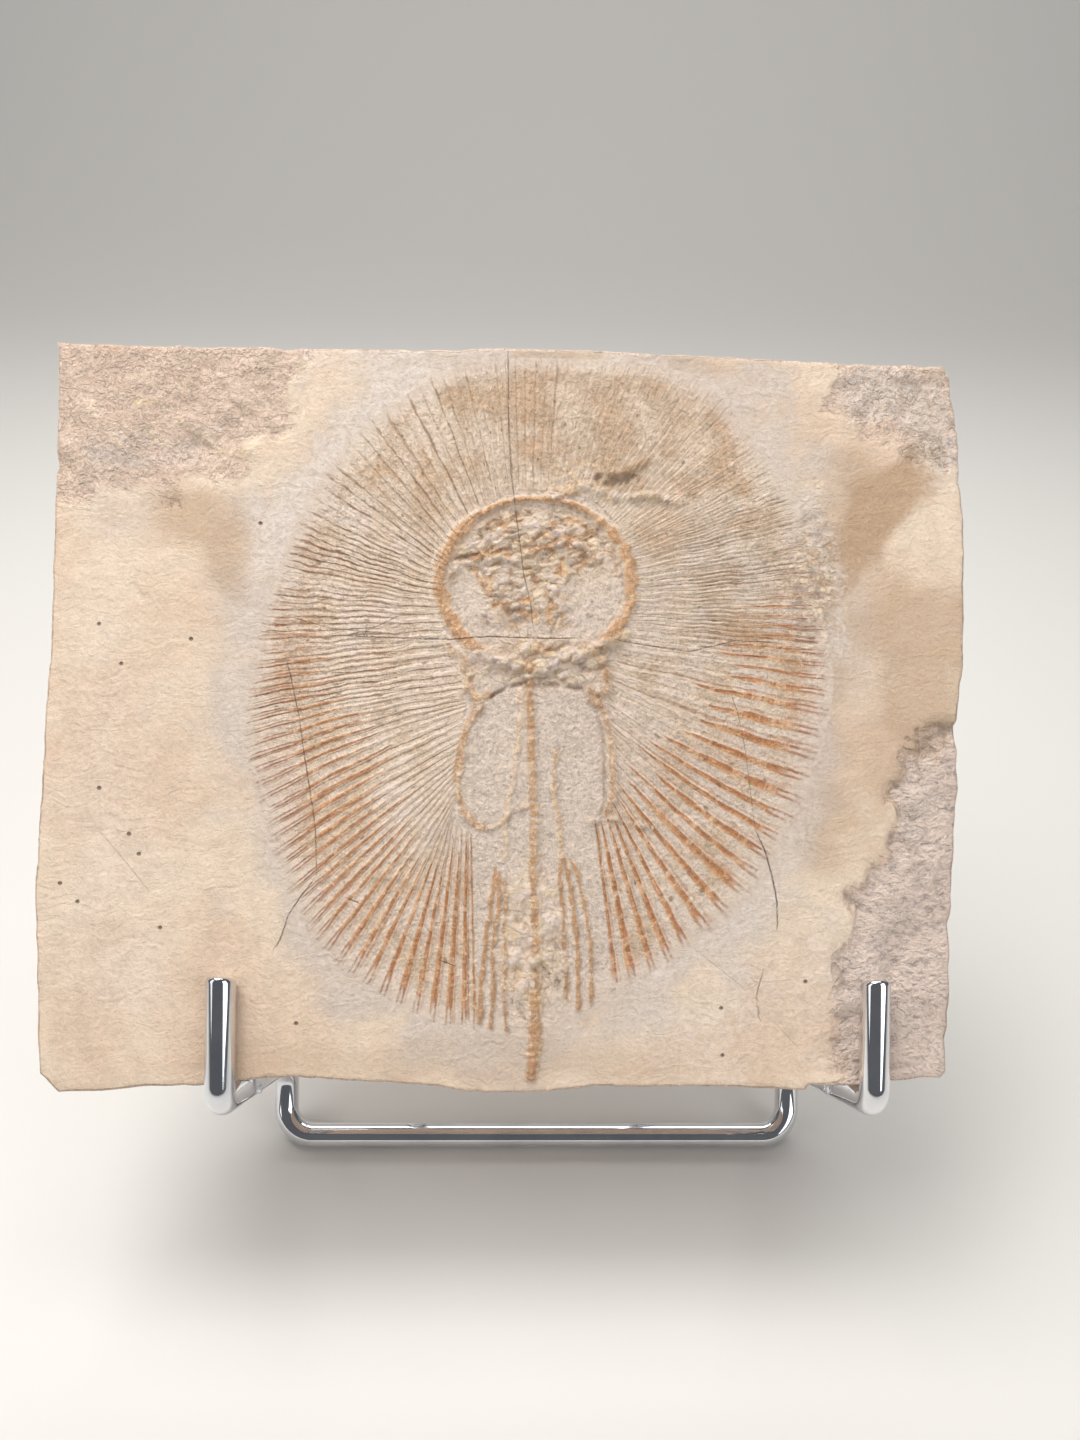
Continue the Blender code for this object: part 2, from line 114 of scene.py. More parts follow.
studio = {
    # a pale sweep in metres: the floor runs back and curls up behind
    "sweep": {"width": 6.0, "length": 4.2, "front": -1.6, "back": 0.75, "curl": 0.7, "rows": 60},
    "paper": tone(222, 219, 214), "paperRoughness": 0.85,
    "world": (0.30, 0.31, 0.33), "worldStrength": 0.4,
    # place and aim in metres, size across and up, power in watts, colour
    "lights": [
        ("overheadSoftbox", (-0.2, -0.06, 0.62), (0.0, -0.02, 0.1), (0.5, 0.34), 3.0, (1.0, 0.985, 0.965)),
        ("sideSoftbox", (-0.75, -0.4, 0.42), (0.0, 0.0, 0.1), (0.35, 0.6), 0.8, (1.0, 0.99, 0.97)),
        ("fillSoftbox", (0.6, -0.6, 0.4), (0.0, 0.0, 0.09), (0.5, 0.5), 1.9, (0.98, 0.99, 1.0)),
        ("edgeSoftbox", (0.05, 0.42, 0.55), (0.0, 0.02, 0.14), (0.6, 0.2), 1.1, (1.0, 1.0, 1.0)),
        ("backdropWash", (0.0, 0.1, 1.9), (0.0, 1.3, 0.5), (1.6, 0.8), 17.0, (1.0, 0.995, 0.985)),
    ],
}


def addSweep():
    width, length, front, back, curl, rows = studio["sweep"].values()
    bpy.ops.object.select_all(action="DESELECT")
    bpy.ops.mesh.primitive_grid_add(x_subdivisions=2, y_subdivisions=rows, size=1)
    sweep = bpy.context.object
    sweep.name = "paleFloor"
    for point in sweep.data.vertices:
        along = (point.co.y + 0.5) * length + front
        turn = min(max((along - back) / curl, 0.0), math.pi / 2)
        rise = max(along - back - curl * math.pi / 2, 0.0)
        point.co.x *= width
        point.co.y = min(along, back) + curl * math.sin(turn)
        point.co.z = curl * (1 - math.cos(turn)) + rise
    bpy.ops.object.shade_smooth()
    finish = bpy.data.materials.new("palePaper")
    finish.use_nodes = True
    shader = finish.node_tree.nodes["Principled BSDF"]
    shader.inputs["Base Color"].default_value = studio["paper"]
    shader.inputs["Roughness"].default_value = studio["paperRoughness"]
    sweep.data.materials.append(finish)


def addLights():
    world = bpy.data.worlds.new("studioAir")
    world.use_nodes = True
    air = world.node_tree.nodes["Background"]
    air.inputs["Color"].default_value = (*studio["world"], 1)
    air.inputs["Strength"].default_value = studio["worldStrength"]
    bpy.context.scene.world = world
    for name, spot, aim, size, power, colour in studio["lights"]:
        bpy.ops.object.light_add(type="AREA", location=spot)
        lamp = bpy.context.object
        lamp.name = name
        lamp.rotation_euler = (Vector(aim) - Vector(spot)).to_track_quat("-Z", "Y").to_euler()
        lamp.data.shape = "RECTANGLE"
        lamp.data.size, lamp.data.size_y = size
        lamp.data.energy = power
        lamp.data.color = colour
    bpy.context.scene.view_settings.view_transform = "Standard"


addSweep()
addLights()
print("camera, floor and lights ready")

# the bare stone, in the slab's own millimetres
stoneBlock = {
    "thickness": 13.0, "arris": 0.6, "backArris": 1.0, "crest": 119.65, "wallDip": 0.75, "edgeNibble": 0.25,
    "rimRows": 36, "wallRows": 10, "backRows": 12, "hooksAside": 52.8,
    "middle": (-2.5, 60.0), "backMiddle": (-7.0, 59.0),
    # clockwise from the top left corner
    "outline": [
        (-80.5, 119), (-58, 119), (-34.5, 119), (-17, 119.3), (-8, 120), (13.5, 119.5), (33, 119),
        (50.5, 118.5), (63.5, 118.5), (65, 116.5), (65, 113.5), (66.3, 107), (66.5, 99.5), (67.5, 90),
        (67.5, 70), (66.5, 60), (67, 48.5), (66.5, 35.5), (66, 17.5), (65.5, 2), (64.5, 1), (51, 0),
        (42.6, -0.2), (42, -1), (24.5, -0.5), (6.5, -0.5), (-3, -1.5), (-13, -1.5), (-18, -0.5),
        (-34, 0.5), (-42, 1), (-51, 0.5), (-56.5, -0.3), (-64.5, -0.5), (-72.5, -1.5), (-79, -1.5),
        (-82, 1.5), (-82.5, 9.5), (-83, 31.5), (-82, 54), (-81, 74.5), (-80.5, 100.5),
    ],
    # broken places: the line, how far the stone beyond it lies lower, how rough it is, how softly that starts
    "steps": [
        ([(69.4, 61.5), (66.7, 60), (61.6, 57.8), (57.8, 55.1), (55.8, 53.3), (56.5, 51.6), (55.9, 47.3),
          (56.1, 44.1), (55.5, 41.3), (53.4, 36.5), (51.6, 33.2), (48.7, 30.9), (49.3, 28.6),
          (47.6, 24.3), (46.3, 20), (48, 16.7), (47.5, 13.9), (46.5, 11.3), (46.5, 6.6), (48.5, -4.1)],
         0.45, 1.0, 1.6),
        ([(-84, 92), (-73.5, 95), (-64, 97), (-53.5, 98), (-46.5, 104), (-44, 110.5), (-42, 122)],
         0.3, 0.75, 7.0),
        ([(46.5, 122), (46, 114), (48, 109), (52, 106), (59, 104), (70, 102)], 0.3, 0.7, 5.0),
    ],
    # facets of the broken place that face away from the light, darkened as painted shade: the line, half
    # width, darkness
    "facets": [
        ([(65.8, 59.5), (62.8, 56.8), (59.8, 54.8), (57, 52.8)], 1, 0.5),
        ([(56.3, 40.6), (58, 39.1), (59.8, 39.5)], 1, 0.65),
        ([(56, 37.6), (54.1, 33.7), (52, 31.5)], 1.7, 0.45),
        ([(48.3, 31.2), (50, 30.4), (51.7, 29.6)], 0.7, 0.9),
        ([(65.6, 32.1), (61.8, 28.5), (57.4, 24.5)], 3.6, 0.3), ([(62.3, 27.2), (58.2, 21.4)], 2.4, 0.25),
        ([(47.2, 12.3), (48.6, 6.6)], 2, 0.25),
    ],
    # flakes that stand up, and lines cut in: the line, half width, height, how cream and how dark
    "flakes": [
        ([(-76.2, 110), (-71.6, 106), (-67.9, 105.1), (-63.2, 103.1)], 0.55, 0.3, 0.75, 0),
        ([(-67.9, 110.5), (-65.6, 107), (-62.3, 103.3), (-59.1, 102.7)], 0.7, 0.35, 0.8, 0),
        ([(-61.4, 107.1), (-57.2, 104.4), (-54.2, 102), (-48.6, 101.5)], 0.6, 0.35, 0.8, 0),
        ([(-71.6, 112.2), (-67.9, 110), (-63.8, 110.1), (-60.1, 112.5), (-57.6, 115.6)], 0.5, 0.25, 0.6, 0),
        ([(-78.5, 107), (-74.3, 103.3), (-69.2, 102.5)], 0.5, 0.2, 0.5, 0),
        ([(-46.6, 105.1), (-47.7, 102.9), (-51.2, 101.7)], 0.45, 0.25, 0.5, 0),
        ([(-56.9, 116.3), (-54.3, 112.9), (-50.8, 108.7), (-46.1, 105.5)], 0.3, -0.25, 0, 0.5),
        ([(-69, 85.3), (-68.3, 81.1), (-66.2, 78.5), (-63.9, 80.2)], 0.22, -0.1, 0, 0.35),
        ([(-57.2, 102.7), (-54.9, 104.7), (-51.7, 104.3)], 0.3, -0.2, 0, 0.35),
        ([(-80.4, 112.5), (-78.8, 111.9)], 0.5, -0.2, 0, 0.5),
    ],
    # stains of the bare stone: the line, half width, strength
    "stains": [
        ([(58, 102), (53, 96), (48, 88), (45, 81)], 4.4, 0.95), ([(47, 92), (52, 99)], 6.0, 0.55),
        ([(50, 76), (62, 74), (60, 62)], 9.0, 0.6), ([(46, 66), (52, 52), (46, 40)], 7.0, 0.5),
        ([(-60, 90), (-53, 85)], 5.0, 0.6), ([(-60, 80), (-64, 70)], 7.0, 0.2),
        ([(-75, 119), (-71, 118.4)], 0.9, 0.6),
        ([(-66, 119), (-64.5, 118.5)], 0.7, 0.45),
        ([(-66, 110), (-65, 109)], 0.8, 0.4),
        ([(-80.5, 110), (-81, 96), (-82, 84)], 1.0, 0.5), ([(-6, 118.5), (6, 118.5)], 2.0, 0.5),
        ([(20, 118), (26, 117)], 2.0, 0.45), ([(-60, 3), (-20, 4), (20, 3)], 4.0, 0.4),
    ],
    # pale bloom: the line, half width, strength
    "blooms": [
        ([(-47, 84), (-42, 94), (-34, 105), (-24, 114)], 3.2, 0.75), ([(-50, 62), (-49, 72)], 3.0, 0.15),
        ([(41, 96), (45, 84), (47, 72)], 2.6, 0.8), ([(22, 8), (34, 14), (44, 20)], 9.0, 0.5),
        ([(20, 20), (36, 30), (42, 44)], 2.6, 0.5), ([(-74, 101), (-66, 100), (-58, 102)], 1.3, 0.8),
        ([(-70, 104), (-60, 103), (-54, 106)], 0.8, 0.8), ([(-72, 62), (-74, 40), (-70, 20)], 8.0, 0.35),
        ([(-30, 4), (-14, 6)], 3.5, 0.15),
        ([(52, 113), (60, 110), (64, 105)], 5.0, 0.9),
        ([(-38, 118), (-24, 118.5)], 3.0, 0.6),
    ],
    # grey patches: place, half sizes, strength, then how the mottling breaks them
    "greyPatches": [
        (-56, 84, 9, 6, 0.8, 1, 0.7), (49, 73, 5, 14, 0.7, 0, 1), (-70, 92, 9, 7, 0.6, 0, 1),
        (2, 5, 13, 5, 0.6, 0, 1),
    ],
    "pits": [
        (-47.7, 90.4), (-73.2, 73.8), (-58.5, 71.6), (-69.6, 67.5), (-72.8, 47.5), (-68, 40.2), (-66.4, 37),
        (-78.8, 32.2), (-76, 29.3), (-62.9, 25.2), (-41, 9.9), (27.9, 12.6), (41.7, 17), (28.2, 4.9),
        (6, 78.6),
    ],
}

finRays = {
    "count": 130, "columnsPerRay": 4, "rows": 64, "ridge": 0.17, "sink": 0.14, "wave": 0.1,
    # number of the ray, where it leaves the body, where it ends, how far it bows up
    "table": [
        (0, (-13, 40.5), (-11.5, 9), 0), (2, (-15, 41.5), (-16.5, 9.5), 0),
        (4, (-16.5, 43), (-22, 11.5), 0), (8, (-16, 46.5), (-32.5, 18), 0),
        (11, (-16, 49.5), (-38.5, 23.5), 0), (17, (-15.5, 54.5), (-44, 35.5), 0.6),
        (22, (-14.5, 61), (-47, 46), 1), (25, (-14.5, 62.5), (-49.5, 52.5), 1),
        (29, (-15.5, 66.5), (-49.5, 60.5), 0.5), (31, (-16.5, 70.5), (-48.5, 65), 0),
        (34, (-18.5, 74), (-47.5, 72), 0), (36.8, (-19, 77.5), (-45.5, 79), 0),
        (40.4, (-18.5, 80.5), (-42.5, 87), 0), (44.6, (-18, 84), (-38.5, 96.5), 0),
        (48.9, (-17, 86.5), (-33.5, 104), 0), (51.7, (-15.5, 90), (-28, 109), 0),
        (56, (-12, 93.5), (-20, 115), 0), (60, (-9, 95.5), (-13, 117.5), 0),
        (64, (-6, 96.5), (-6.5, 118), 0), (68, (-1, 96.5), (0.5, 118), 0),
        (75, (5.5, 95.5), (14, 117.8), 0), (79, (7.5, 94), (21.5, 116), 0),
        (84, (9.5, 92), (27.5, 112), 0), (88, (10.5, 90), (32, 105.5), 0),
        (93, (12, 87.5), (36, 99), 0), (98, (12.5, 85), (40, 92), 0),
        (102, (13.5, 81.5), (42.5, 85.5), 0), (106, (13, 78), (44, 78.5), 0),
        (109, (12, 75), (44.5, 73), 0), (113, (9.5, 70), (45.5, 64.5), 0),
        (115.2, (8.5, 67), (44, 57), -0.7), (117.4, (8.5, 63.5), (41.5, 48.5), -1.2),
        (121.1, (8.5, 58), (35.5, 37), -1.3), (123.3, (8.5, 53), (31, 30.5), -1),
        (126.3, (9, 47), (21, 21.5), 0), (128.5, (8.5, 44), (15.5, 18), 0), (130, (6.5, 43), (9.5, 15.5), 0),
    ],
    # how the rays change round the disc: numbers of rays, and the value at each
    "profiles": {
        "boldFrom": (
            [0, 4, 8, 17, 23, 30, 35, 47, 90, 102, 106, 112, 117, 121, 126, 130],
            [0.04, 0.22, 0.36, 0.42, 0.5, 0.6, 0.72, 0.9, 0.95, 0.8, 0.62, 0.52, 0.4, 0.28, 0.08, 0.04]),
        "orange": (
            [0, 23, 30, 35, 39, 45, 55, 90, 98, 104, 110, 115, 130],
            [1, 0.8, 0.55, 0.4, 0.25, 0.1, 0.05, 0.0, 0.08, 0.35, 0.7, 1, 1]),
        "thinLines": (
            [0, 23, 31, 36, 40, 49, 56, 64, 78, 86, 98, 106, 112, 118, 130],
            [0.75, 0.75, 0.8, 0.85, 0.9, 1.0, 0.85, 0.55, 0.35, 0.5, 0.8, 0.8, 0.75, 0.75, 0.75]),
        "cream": ([0, 29, 40, 49, 60, 78, 90, 104, 130], [0.8, 0.9, 0.95, 0.75, 0.5, 0.4, 0.8, 1, 0.9]),
        "tan": ([0, 28, 37, 55, 64, 78, 92, 104, 130], [0.3, 0.35, 0.4, 0.45, 0.8, 0.8, 0.5, 0.45, 0.25]),
        "doubled": ([23, 29, 42, 47, 86, 94, 110, 115], [0, 1, 1, 0, 0, 1, 1, 0]),
        "tallness": ([0, 27, 45, 53, 64, 78, 90, 112, 130], [1, 1, 0.75, 0.5, 0.3, 0.3, 0.6, 1, 1]),
        "grey": ([0, 23, 33, 45, 55, 90, 100, 112, 130], [0.7, 0.55, 0.75, 0.7, 0.5, 0.3, 0.8, 0.7, 0.8]),
        "darkTips": (
            [0, 8, 14, 22, 30, 40, 100, 113, 121, 130],
            [0.9, 0.89, 0.84, 0.78, 0.76, 0.8, 0.8, 0.83, 0.88, 0.92]),
    },
    # blotches on the rays: place, half sizes, strength, then how the mottling breaks them
    "blotches": [
        (31, 73, 5, 4, 1, 0, 1), (41, 66, 4, 5, 1, 0, 1), (-43, 68, 5, 5, 1, 0, 1), (17, 91, 6, 4, 0.8, 0, 1),
        (30, 97, 6, 6, 0.6, 2, 0.6), (-4.5, 108, 3.5, 11, 0.75, 3, 0.5),
    ],
    "tailRim": [
        (9.5, 15.5), (7.5, 13), (4.5, 11), (2, 9), (-0.8, 8), (-2.7, 7.8), (-4.6, 8), (-8, 8.5), (-11.5, 9),
    ],
    "ridgeSeed": 5, "stripeSeed": 11,
}


def byNumber(number, label):
    return np.interp(number, *finRays["profiles"][label])


def fadeOut(share):
    return smooth((1 - share) * 5)


def rayPlaces(number, share):
    table = finRays["table"]
    numbers = [row[0] for row in table]
    spots = [(*start, *end, bow) for _, start, end, bow in table]
    innerU, innerV, rimU, rimV, bow = [
        sum(np.interp(number + shift, numbers, values) for shift in (-0.8, 0, 0.8)) / 3
        for values in zip(*spots)
    ]
    # the rays at the sides run in slow waves
    sideways = smooth(1.6 - abs(number - 33) / 12) + smooth(1.6 - abs(number - 104) / 12)
    wave = np.sin(share * 19 + number * 0.35) * smooth(share * 5) * smooth((1 - share) * 6)
    return np.column_stack((
        innerU + (rimU - innerU) * share,
        innerV + (rimV - innerV) * share + bow * 4 * share * (1 - share) + finRays["wave"] * sideways * wave,
    ))


def nearLine(places, line):
    # signed distance to a line of points, and how far along it
    line = np.array(line, float)
    lengths = np.hypot(*np.diff(line, axis=0).T)
    signed = np.full(len(places), 1e9)
    share = np.zeros(len(places))
    walked = 0.0
    for start, end, length in zip(line, line[1:], lengths):
        run = end - start
        reach = np.clip((places - start) @ run / (length * length), 0, 1)
        gap = places - start - reach[:, None] * run
        distance = np.hypot(*gap.T)
        closer = distance < np.abs(signed)
        side = np.where(run[0] * gap[:, 1] - run[1] * gap[:, 0] < 0, -1.0, 1.0)
        signed[closer] = (distance * side)[closer]
        share[closer] = (walked + reach[closer] * length) / lengths.sum()
        walked += length
    return signed, share


def fromLine(places, line):
    return nearLine(places, line)[0]


def roughness(places, size, octaves, seed):
    return np.array([noise.fractal((u / size, v / size, seed), 0.9, 2.1, octaves) for u, v in places])


def blob(places, centreU, centreV, halfU, halfV):
    u, v = places.T
    return smooth(1.35 - np.hypot((u - centreU) / halfU, (v - centreV) / halfV))


def blobs(places, rows):
    return sum(strength * blob(places, *spot) for *spot, strength in rows)


def patchwork(beneath, places, rows, mottled):
    # soft patches that the mottling can break up
    for *spot, strength, gain, start in rows:
        beneath = np.maximum(beneath, strength * blob(places, *spot) * smooth(mottled * gain + start))
    return beneath


body = {
    "rungSteps": 78, "tailRows": 22,
    "ringCentre": (-3.1, 81.6), "ringRadii": (15.5, 13.6), "ringHalfWidth": 1.4, "ringHeight": 0.7,
    "spine": [
        (-4, 68), (-4, 62.5), (-3.5, 53), (-3, 43), (-3, 33.5), (-2.5, 23.5), (-2.5, 13.5), (-2.5, 7),
        (-3, 1.5),
    ],
    "spineHalfWidth": 1.1, "spineHeight": 0.7, "beadSpacing": 1.3,
    # bones that run in lines: points, half width, height, then how orange, how dark and how cream they are
    "bars": [
        ([(-10.9, 63.6), (-13.3, 59.8), (-14.7, 55.9), (-15.5, 51), (-15.4, 47.4), (-14.8, 44.9),
          (-12.8, 42.6),
          (-11.2, 41.5)], 0.8, 0.4, 0.75, 0.15, 0.5),
        ([(4.3, 64.3), (6.7, 61), (7.7, 57), (8.2, 52.9), (8.3, 48), (7.7, 44.4)], 0.32, 0.2, 0.3, 0.7, 0.0),
        ([(5.6, 64.3), (8.0, 61), (9.1, 57), (9.6, 52.9), (9.7, 48), (9.0, 44.4)], 0.8, 0.35, 0.7, 0.0, 0.5),
        ([(-10.8, 41.5), (-8.6, 42.3), (-6.7, 44.3), (-4.6, 45.3)], 0.5, 0.4, 0.4, 0.15, 0.6),
        ([(-5.6, 64.1), (-5.7, 56), (-6.7, 49.5), (-7.6, 43.5), (-7.8, 37)], 0.6, 0.25, 0.5, 0.1, 0.6),
        ([(0.2, 54.6), (0.1, 51.8), (0.2, 46.3), (1.2, 43.9), (1.5, 37)], 0.6, 0.25, 0.6, 0.1, 0.5),
        ([(5.7, 42.8), (9.3, 43.5), (13.4, 42.8), (16.9, 41.9)], 0.5, 0.5, 0.25, 0.1, 0.7),
        ([(-1.0, 95.8), (3.0, 96.9), (7.0, 96.4), (11.0, 95.9), (15.0, 96.2), (20.5, 95.6)],
         1.0, 0.7, 0.6, 0.0, 0.75),
        ([(6.5, 99.6), (10.5, 100.0), (15.0, 101.8)], 0.8, 0.5, 0.5, 0.3, 0.1),
        ([(-17, 71), (-13, 69.6), (-9, 68), (-2.5, 67.2)], 1.3, 0.6, 0.6, 0.0, 0.6),
        ([(-2.5, 67.2), (2.5, 69.5), (7, 71.5), (11.5, 73)], 1.2, 0.6, 0.6, 0.0, 0.7),
        ([(-14.5, 68), (-13.8, 64.5), (-12, 61.5)], 1.2, 0.6, 0.6, 0.1, 0.4),
        ([(7.5, 69.5), (8.8, 66), (7.4, 62.5)], 1.1, 0.55, 0.5, 0.3, 0.2),
        ([(-14.3, 84.8), (-11.5, 85.8), (-8.3, 85.2), (-5.1, 85.9), (-1.8, 87.3), (2.2, 88.2), (6.3, 87.6)],
         0.55, 0.5, 0.6, 0.2, 0.3),
        ([(-13.6, 84.2), (-12, 81.6), (-10.3, 79), (-8.2, 76.3), (-6.5, 74.2)], 0.55, 0.45, 0.7, 0.1, 0.3),
        ([(7.2, 85.5), (3.9, 84.4), (1.5, 82.5), (0.1, 80.5)], 0.6, 0.5, 0.45, 0.1, 0.6),
        ([(-9.1, 35.2), (-9.7, 30), (-10.6, 23.5), (-11.3, 17.8), (-11.4, 10.1)], 0.5, 0.4, 0.95, 0.3, 0.2),
        ([(-8.5, 34.5), (-8.7, 28.3), (-9.5, 21.8), (-9.4, 16.1), (-9.5, 9.6)], 0.42, 0.4, 0.9, 0.3, 0.2),
        ([(-7.6, 33.2), (-7.6, 25.1), (-7.6, 18.6), (-7.5, 12.9), (-7.0, 8.8)], 0.38, 0.3, 0.75, 0.25, 0.2),
        ([(1.2, 35.7), (1.6, 30), (2.2, 22.7), (2.6, 14.2)], 0.42, 0.3, 0.8, 0.3, 0.2),
        ([(1.9, 36.9), (2.9, 32.3), (4.0, 25.4), (4.5, 19.9), (4.5, 12.5)], 0.5, 0.4, 0.9, 0.3, 0.25),
        ([(3.0, 36.7), (5.0, 30.9), (6.2, 24.9), (6.6, 19.5), (6.4, 13.4)], 0.4, 0.3, 0.85, 0.25, 0.2),
    ],
    # lumps and hollows: place, half sizes, height, then how orange, how dark and how cream they are
    "lumps": [
        (-3, 89.5, 7, 3, 0.5, 0.3, 0.0, 0.4), (4.5, 86.8, 5, 1.6, 0.5, 0.4, 0.1, 0.5),
        (-8.5, 83, 2.2, 3.5, 0.5, 0.4, 0.0, 0.5), (-1.3, 78.5, 2.6, 4.2, 0.7, 0.35, 0.1, 0.5),
        (-7.5, 77, 3, 1.6, 0.4, 0.3, 0.25, 0.3),
        (-13.4, 80.3, 2.1, 4.4, -0.5, 0, 0, 0),
        (5.8, 78.9, 4.2, 5.4, -0.5, 0, 0, 0),
        (-10, 54, 3.8, 8.5, -0.45, 0, 0, 0), (3.3, 54, 3.6, 8.5, -0.45, 0, 0, 0),
        (-10.5, 69.7, 2.6, 1.2, 0.4, 0.1, 0.0, 0.9), (-6.5, 67.7, 2.4, 1.4, 0.5, 0.0, 0.0, 1.0),
        (2.5, 69.9, 3.2, 1.3, 0.5, 0.0, 0.0, 1.0), (9.6, 73.2, 1.5, 1.2, 0.5, 1.0, 0.5, 0.0),
        (-5.4, 31, 2.1, 3.4, 0.5, 0.1, 0.1, 0.8), (-5.4, 25, 2.2, 2.6, 0.5, 0.1, 0.1, 0.9),
        (-0.3, 31.5, 1.9, 2.2, 0.4, 0.3, 0.1, 0.5), (-0.2, 26.3, 2.2, 3.3, 0.7, 0.0, 0.0, 1.0),
        (-4.5, 20.2, 4.2, 1.1, 0.8, 0.0, 0.0, 1.0), (0.8, 19.8, 2.2, 2.3, 0.5, 0.1, 0.1, 0.8),
        (-4.6, 16.2, 2.9, 2.6, 0.5, 0.35, 0.05, 0.6), (-2.5, 5.5, 1.8, 4.5, 0.25, 0.6, 0.0, 0.3),
        (-3, 71.2, 3, 2.2, 0.5, 0.5, 0.0, 0.4), (-5.5, 26.6, 0.7, 0.8, -0.7, 0, 1.0, 0),
    ],
    # place, half sizes, strength: bony rubble, the bare lobes beside the skull, and brown of the body
    "rubble": [(-2.5, 68.5, 14, 4.6, 1), (-3, 22, 6.5, 14, 0.75), (42, 82, 4.5, 17, 0.55),
    (5, 99, 9, 5, 0.45)],
    "lobes": [(-13.9, 79, 2.8, 5.8, 1), (6.4, 79, 5.4, 6.6, 1)],
    "brown": [(-3, 87, 15, 9, 0.65), (-3, 22, 6, 14, 0.5), (-3, 69, 14, 5, 0.6)],
    # grooves: points, half width, depth, and darkness, painted as shade in the groove
    "grooves": [
        ([(-12.4, 61.4), (-9.6, 63.4), (-6.9, 64.8), (-4, 65.4)], 0.35, 0.4, 0.8),
        ([(-1.5, 65.2), (1.7, 64.9), (5, 64.3), (7.5, 62.7)], 0.4, 0.4, 0.8),
        ([(-1.9, 19.6), (0.6, 17.4), (3.1, 14.8)], 0.35, 0.5, 0.9),
        ([(-7.6, 14.8), (-5.6, 13.3), (-4.2, 11)], 0.4, 0.4, 0.6),
        ([(-1.8, 80.5), (0.5, 76.5), (-0.6, 73.5)], 0.3, 0.3, 0.5),
        ([(7.0, 98.6), (10.4, 98.2), (13.0, 98.8)], 0.9, 0.6, 0.5),
    ],
}

# cracks and hairlines: points, half width, darkness
hairlines = [
    ([(-8.2, 120), (-7.9, 106.3), (-7.5, 99.9), (-6.9, 95), (-5.9, 87.7), (-5.2, 82.8), (-4, 78),
      (-3.4, 72.6)],
     0.16, 0.75),
    ([(-42.6, 75.3), (-36.4, 73.7), (-30.8, 73.2), (-25.2, 75.9), (-20.3, 76.6)], 0.16, 0.6),
    ([(-34.8, 72.5), (-25.1, 72.3), (-17, 72.1), (-10.6, 72.7), (-2.4, 72.5), (4.1, 72.6)], 0.2, 0.9),
    ([(9.3, 72.5), (17.2, 71.3), (22.1, 70.7), (24.7, 71.4), (29.5, 72.6), (36.9, 72.4)], 0.18, 0.8),
    ([(-43.4, 68.8), (-42.6, 66.1), (-41.2, 59.6), (-40.5, 54.8), (-39, 45.9), (-38.3, 41.1), (-38, 33.6)],
     0.16, 0.8),
    ([(-38, 33.6), (-40.7, 30.1), (-42.5, 27.3), (-43.7, 23.3), (-44.9, 21.6)], 0.16, 0.75),
    ([(28.7, 64.6), (30.1, 60.5), (31.2, 55.6), (31.9, 50.7), (33.1, 41.7)], 0.13, 0.5),
    ([(33.1, 41.7), (34.7, 38.5), (35.9, 34.4), (36.8, 30.3), (37, 25.4)], 0.17, 0.9),
    ([(34.8, 18.9), (33.8, 15.5), (33.8, 13.1), (34.2, 10.6)], 0.16, 0.6),
    ([(-73.6, 41.6), (-68.7, 36), (-64.7, 30.9)], 0.12, 0.35),
    ([(-18, 20.2), (-15.4, 19.2)], 0.14, 0.9),
    ([(-33.5, 30.3), (-31.1, 29.3)], 0.13, 0.9),
    ([(22.7, 22.8), (31, 16.3), (41, 5.7)], 0.12, 0.3),
]


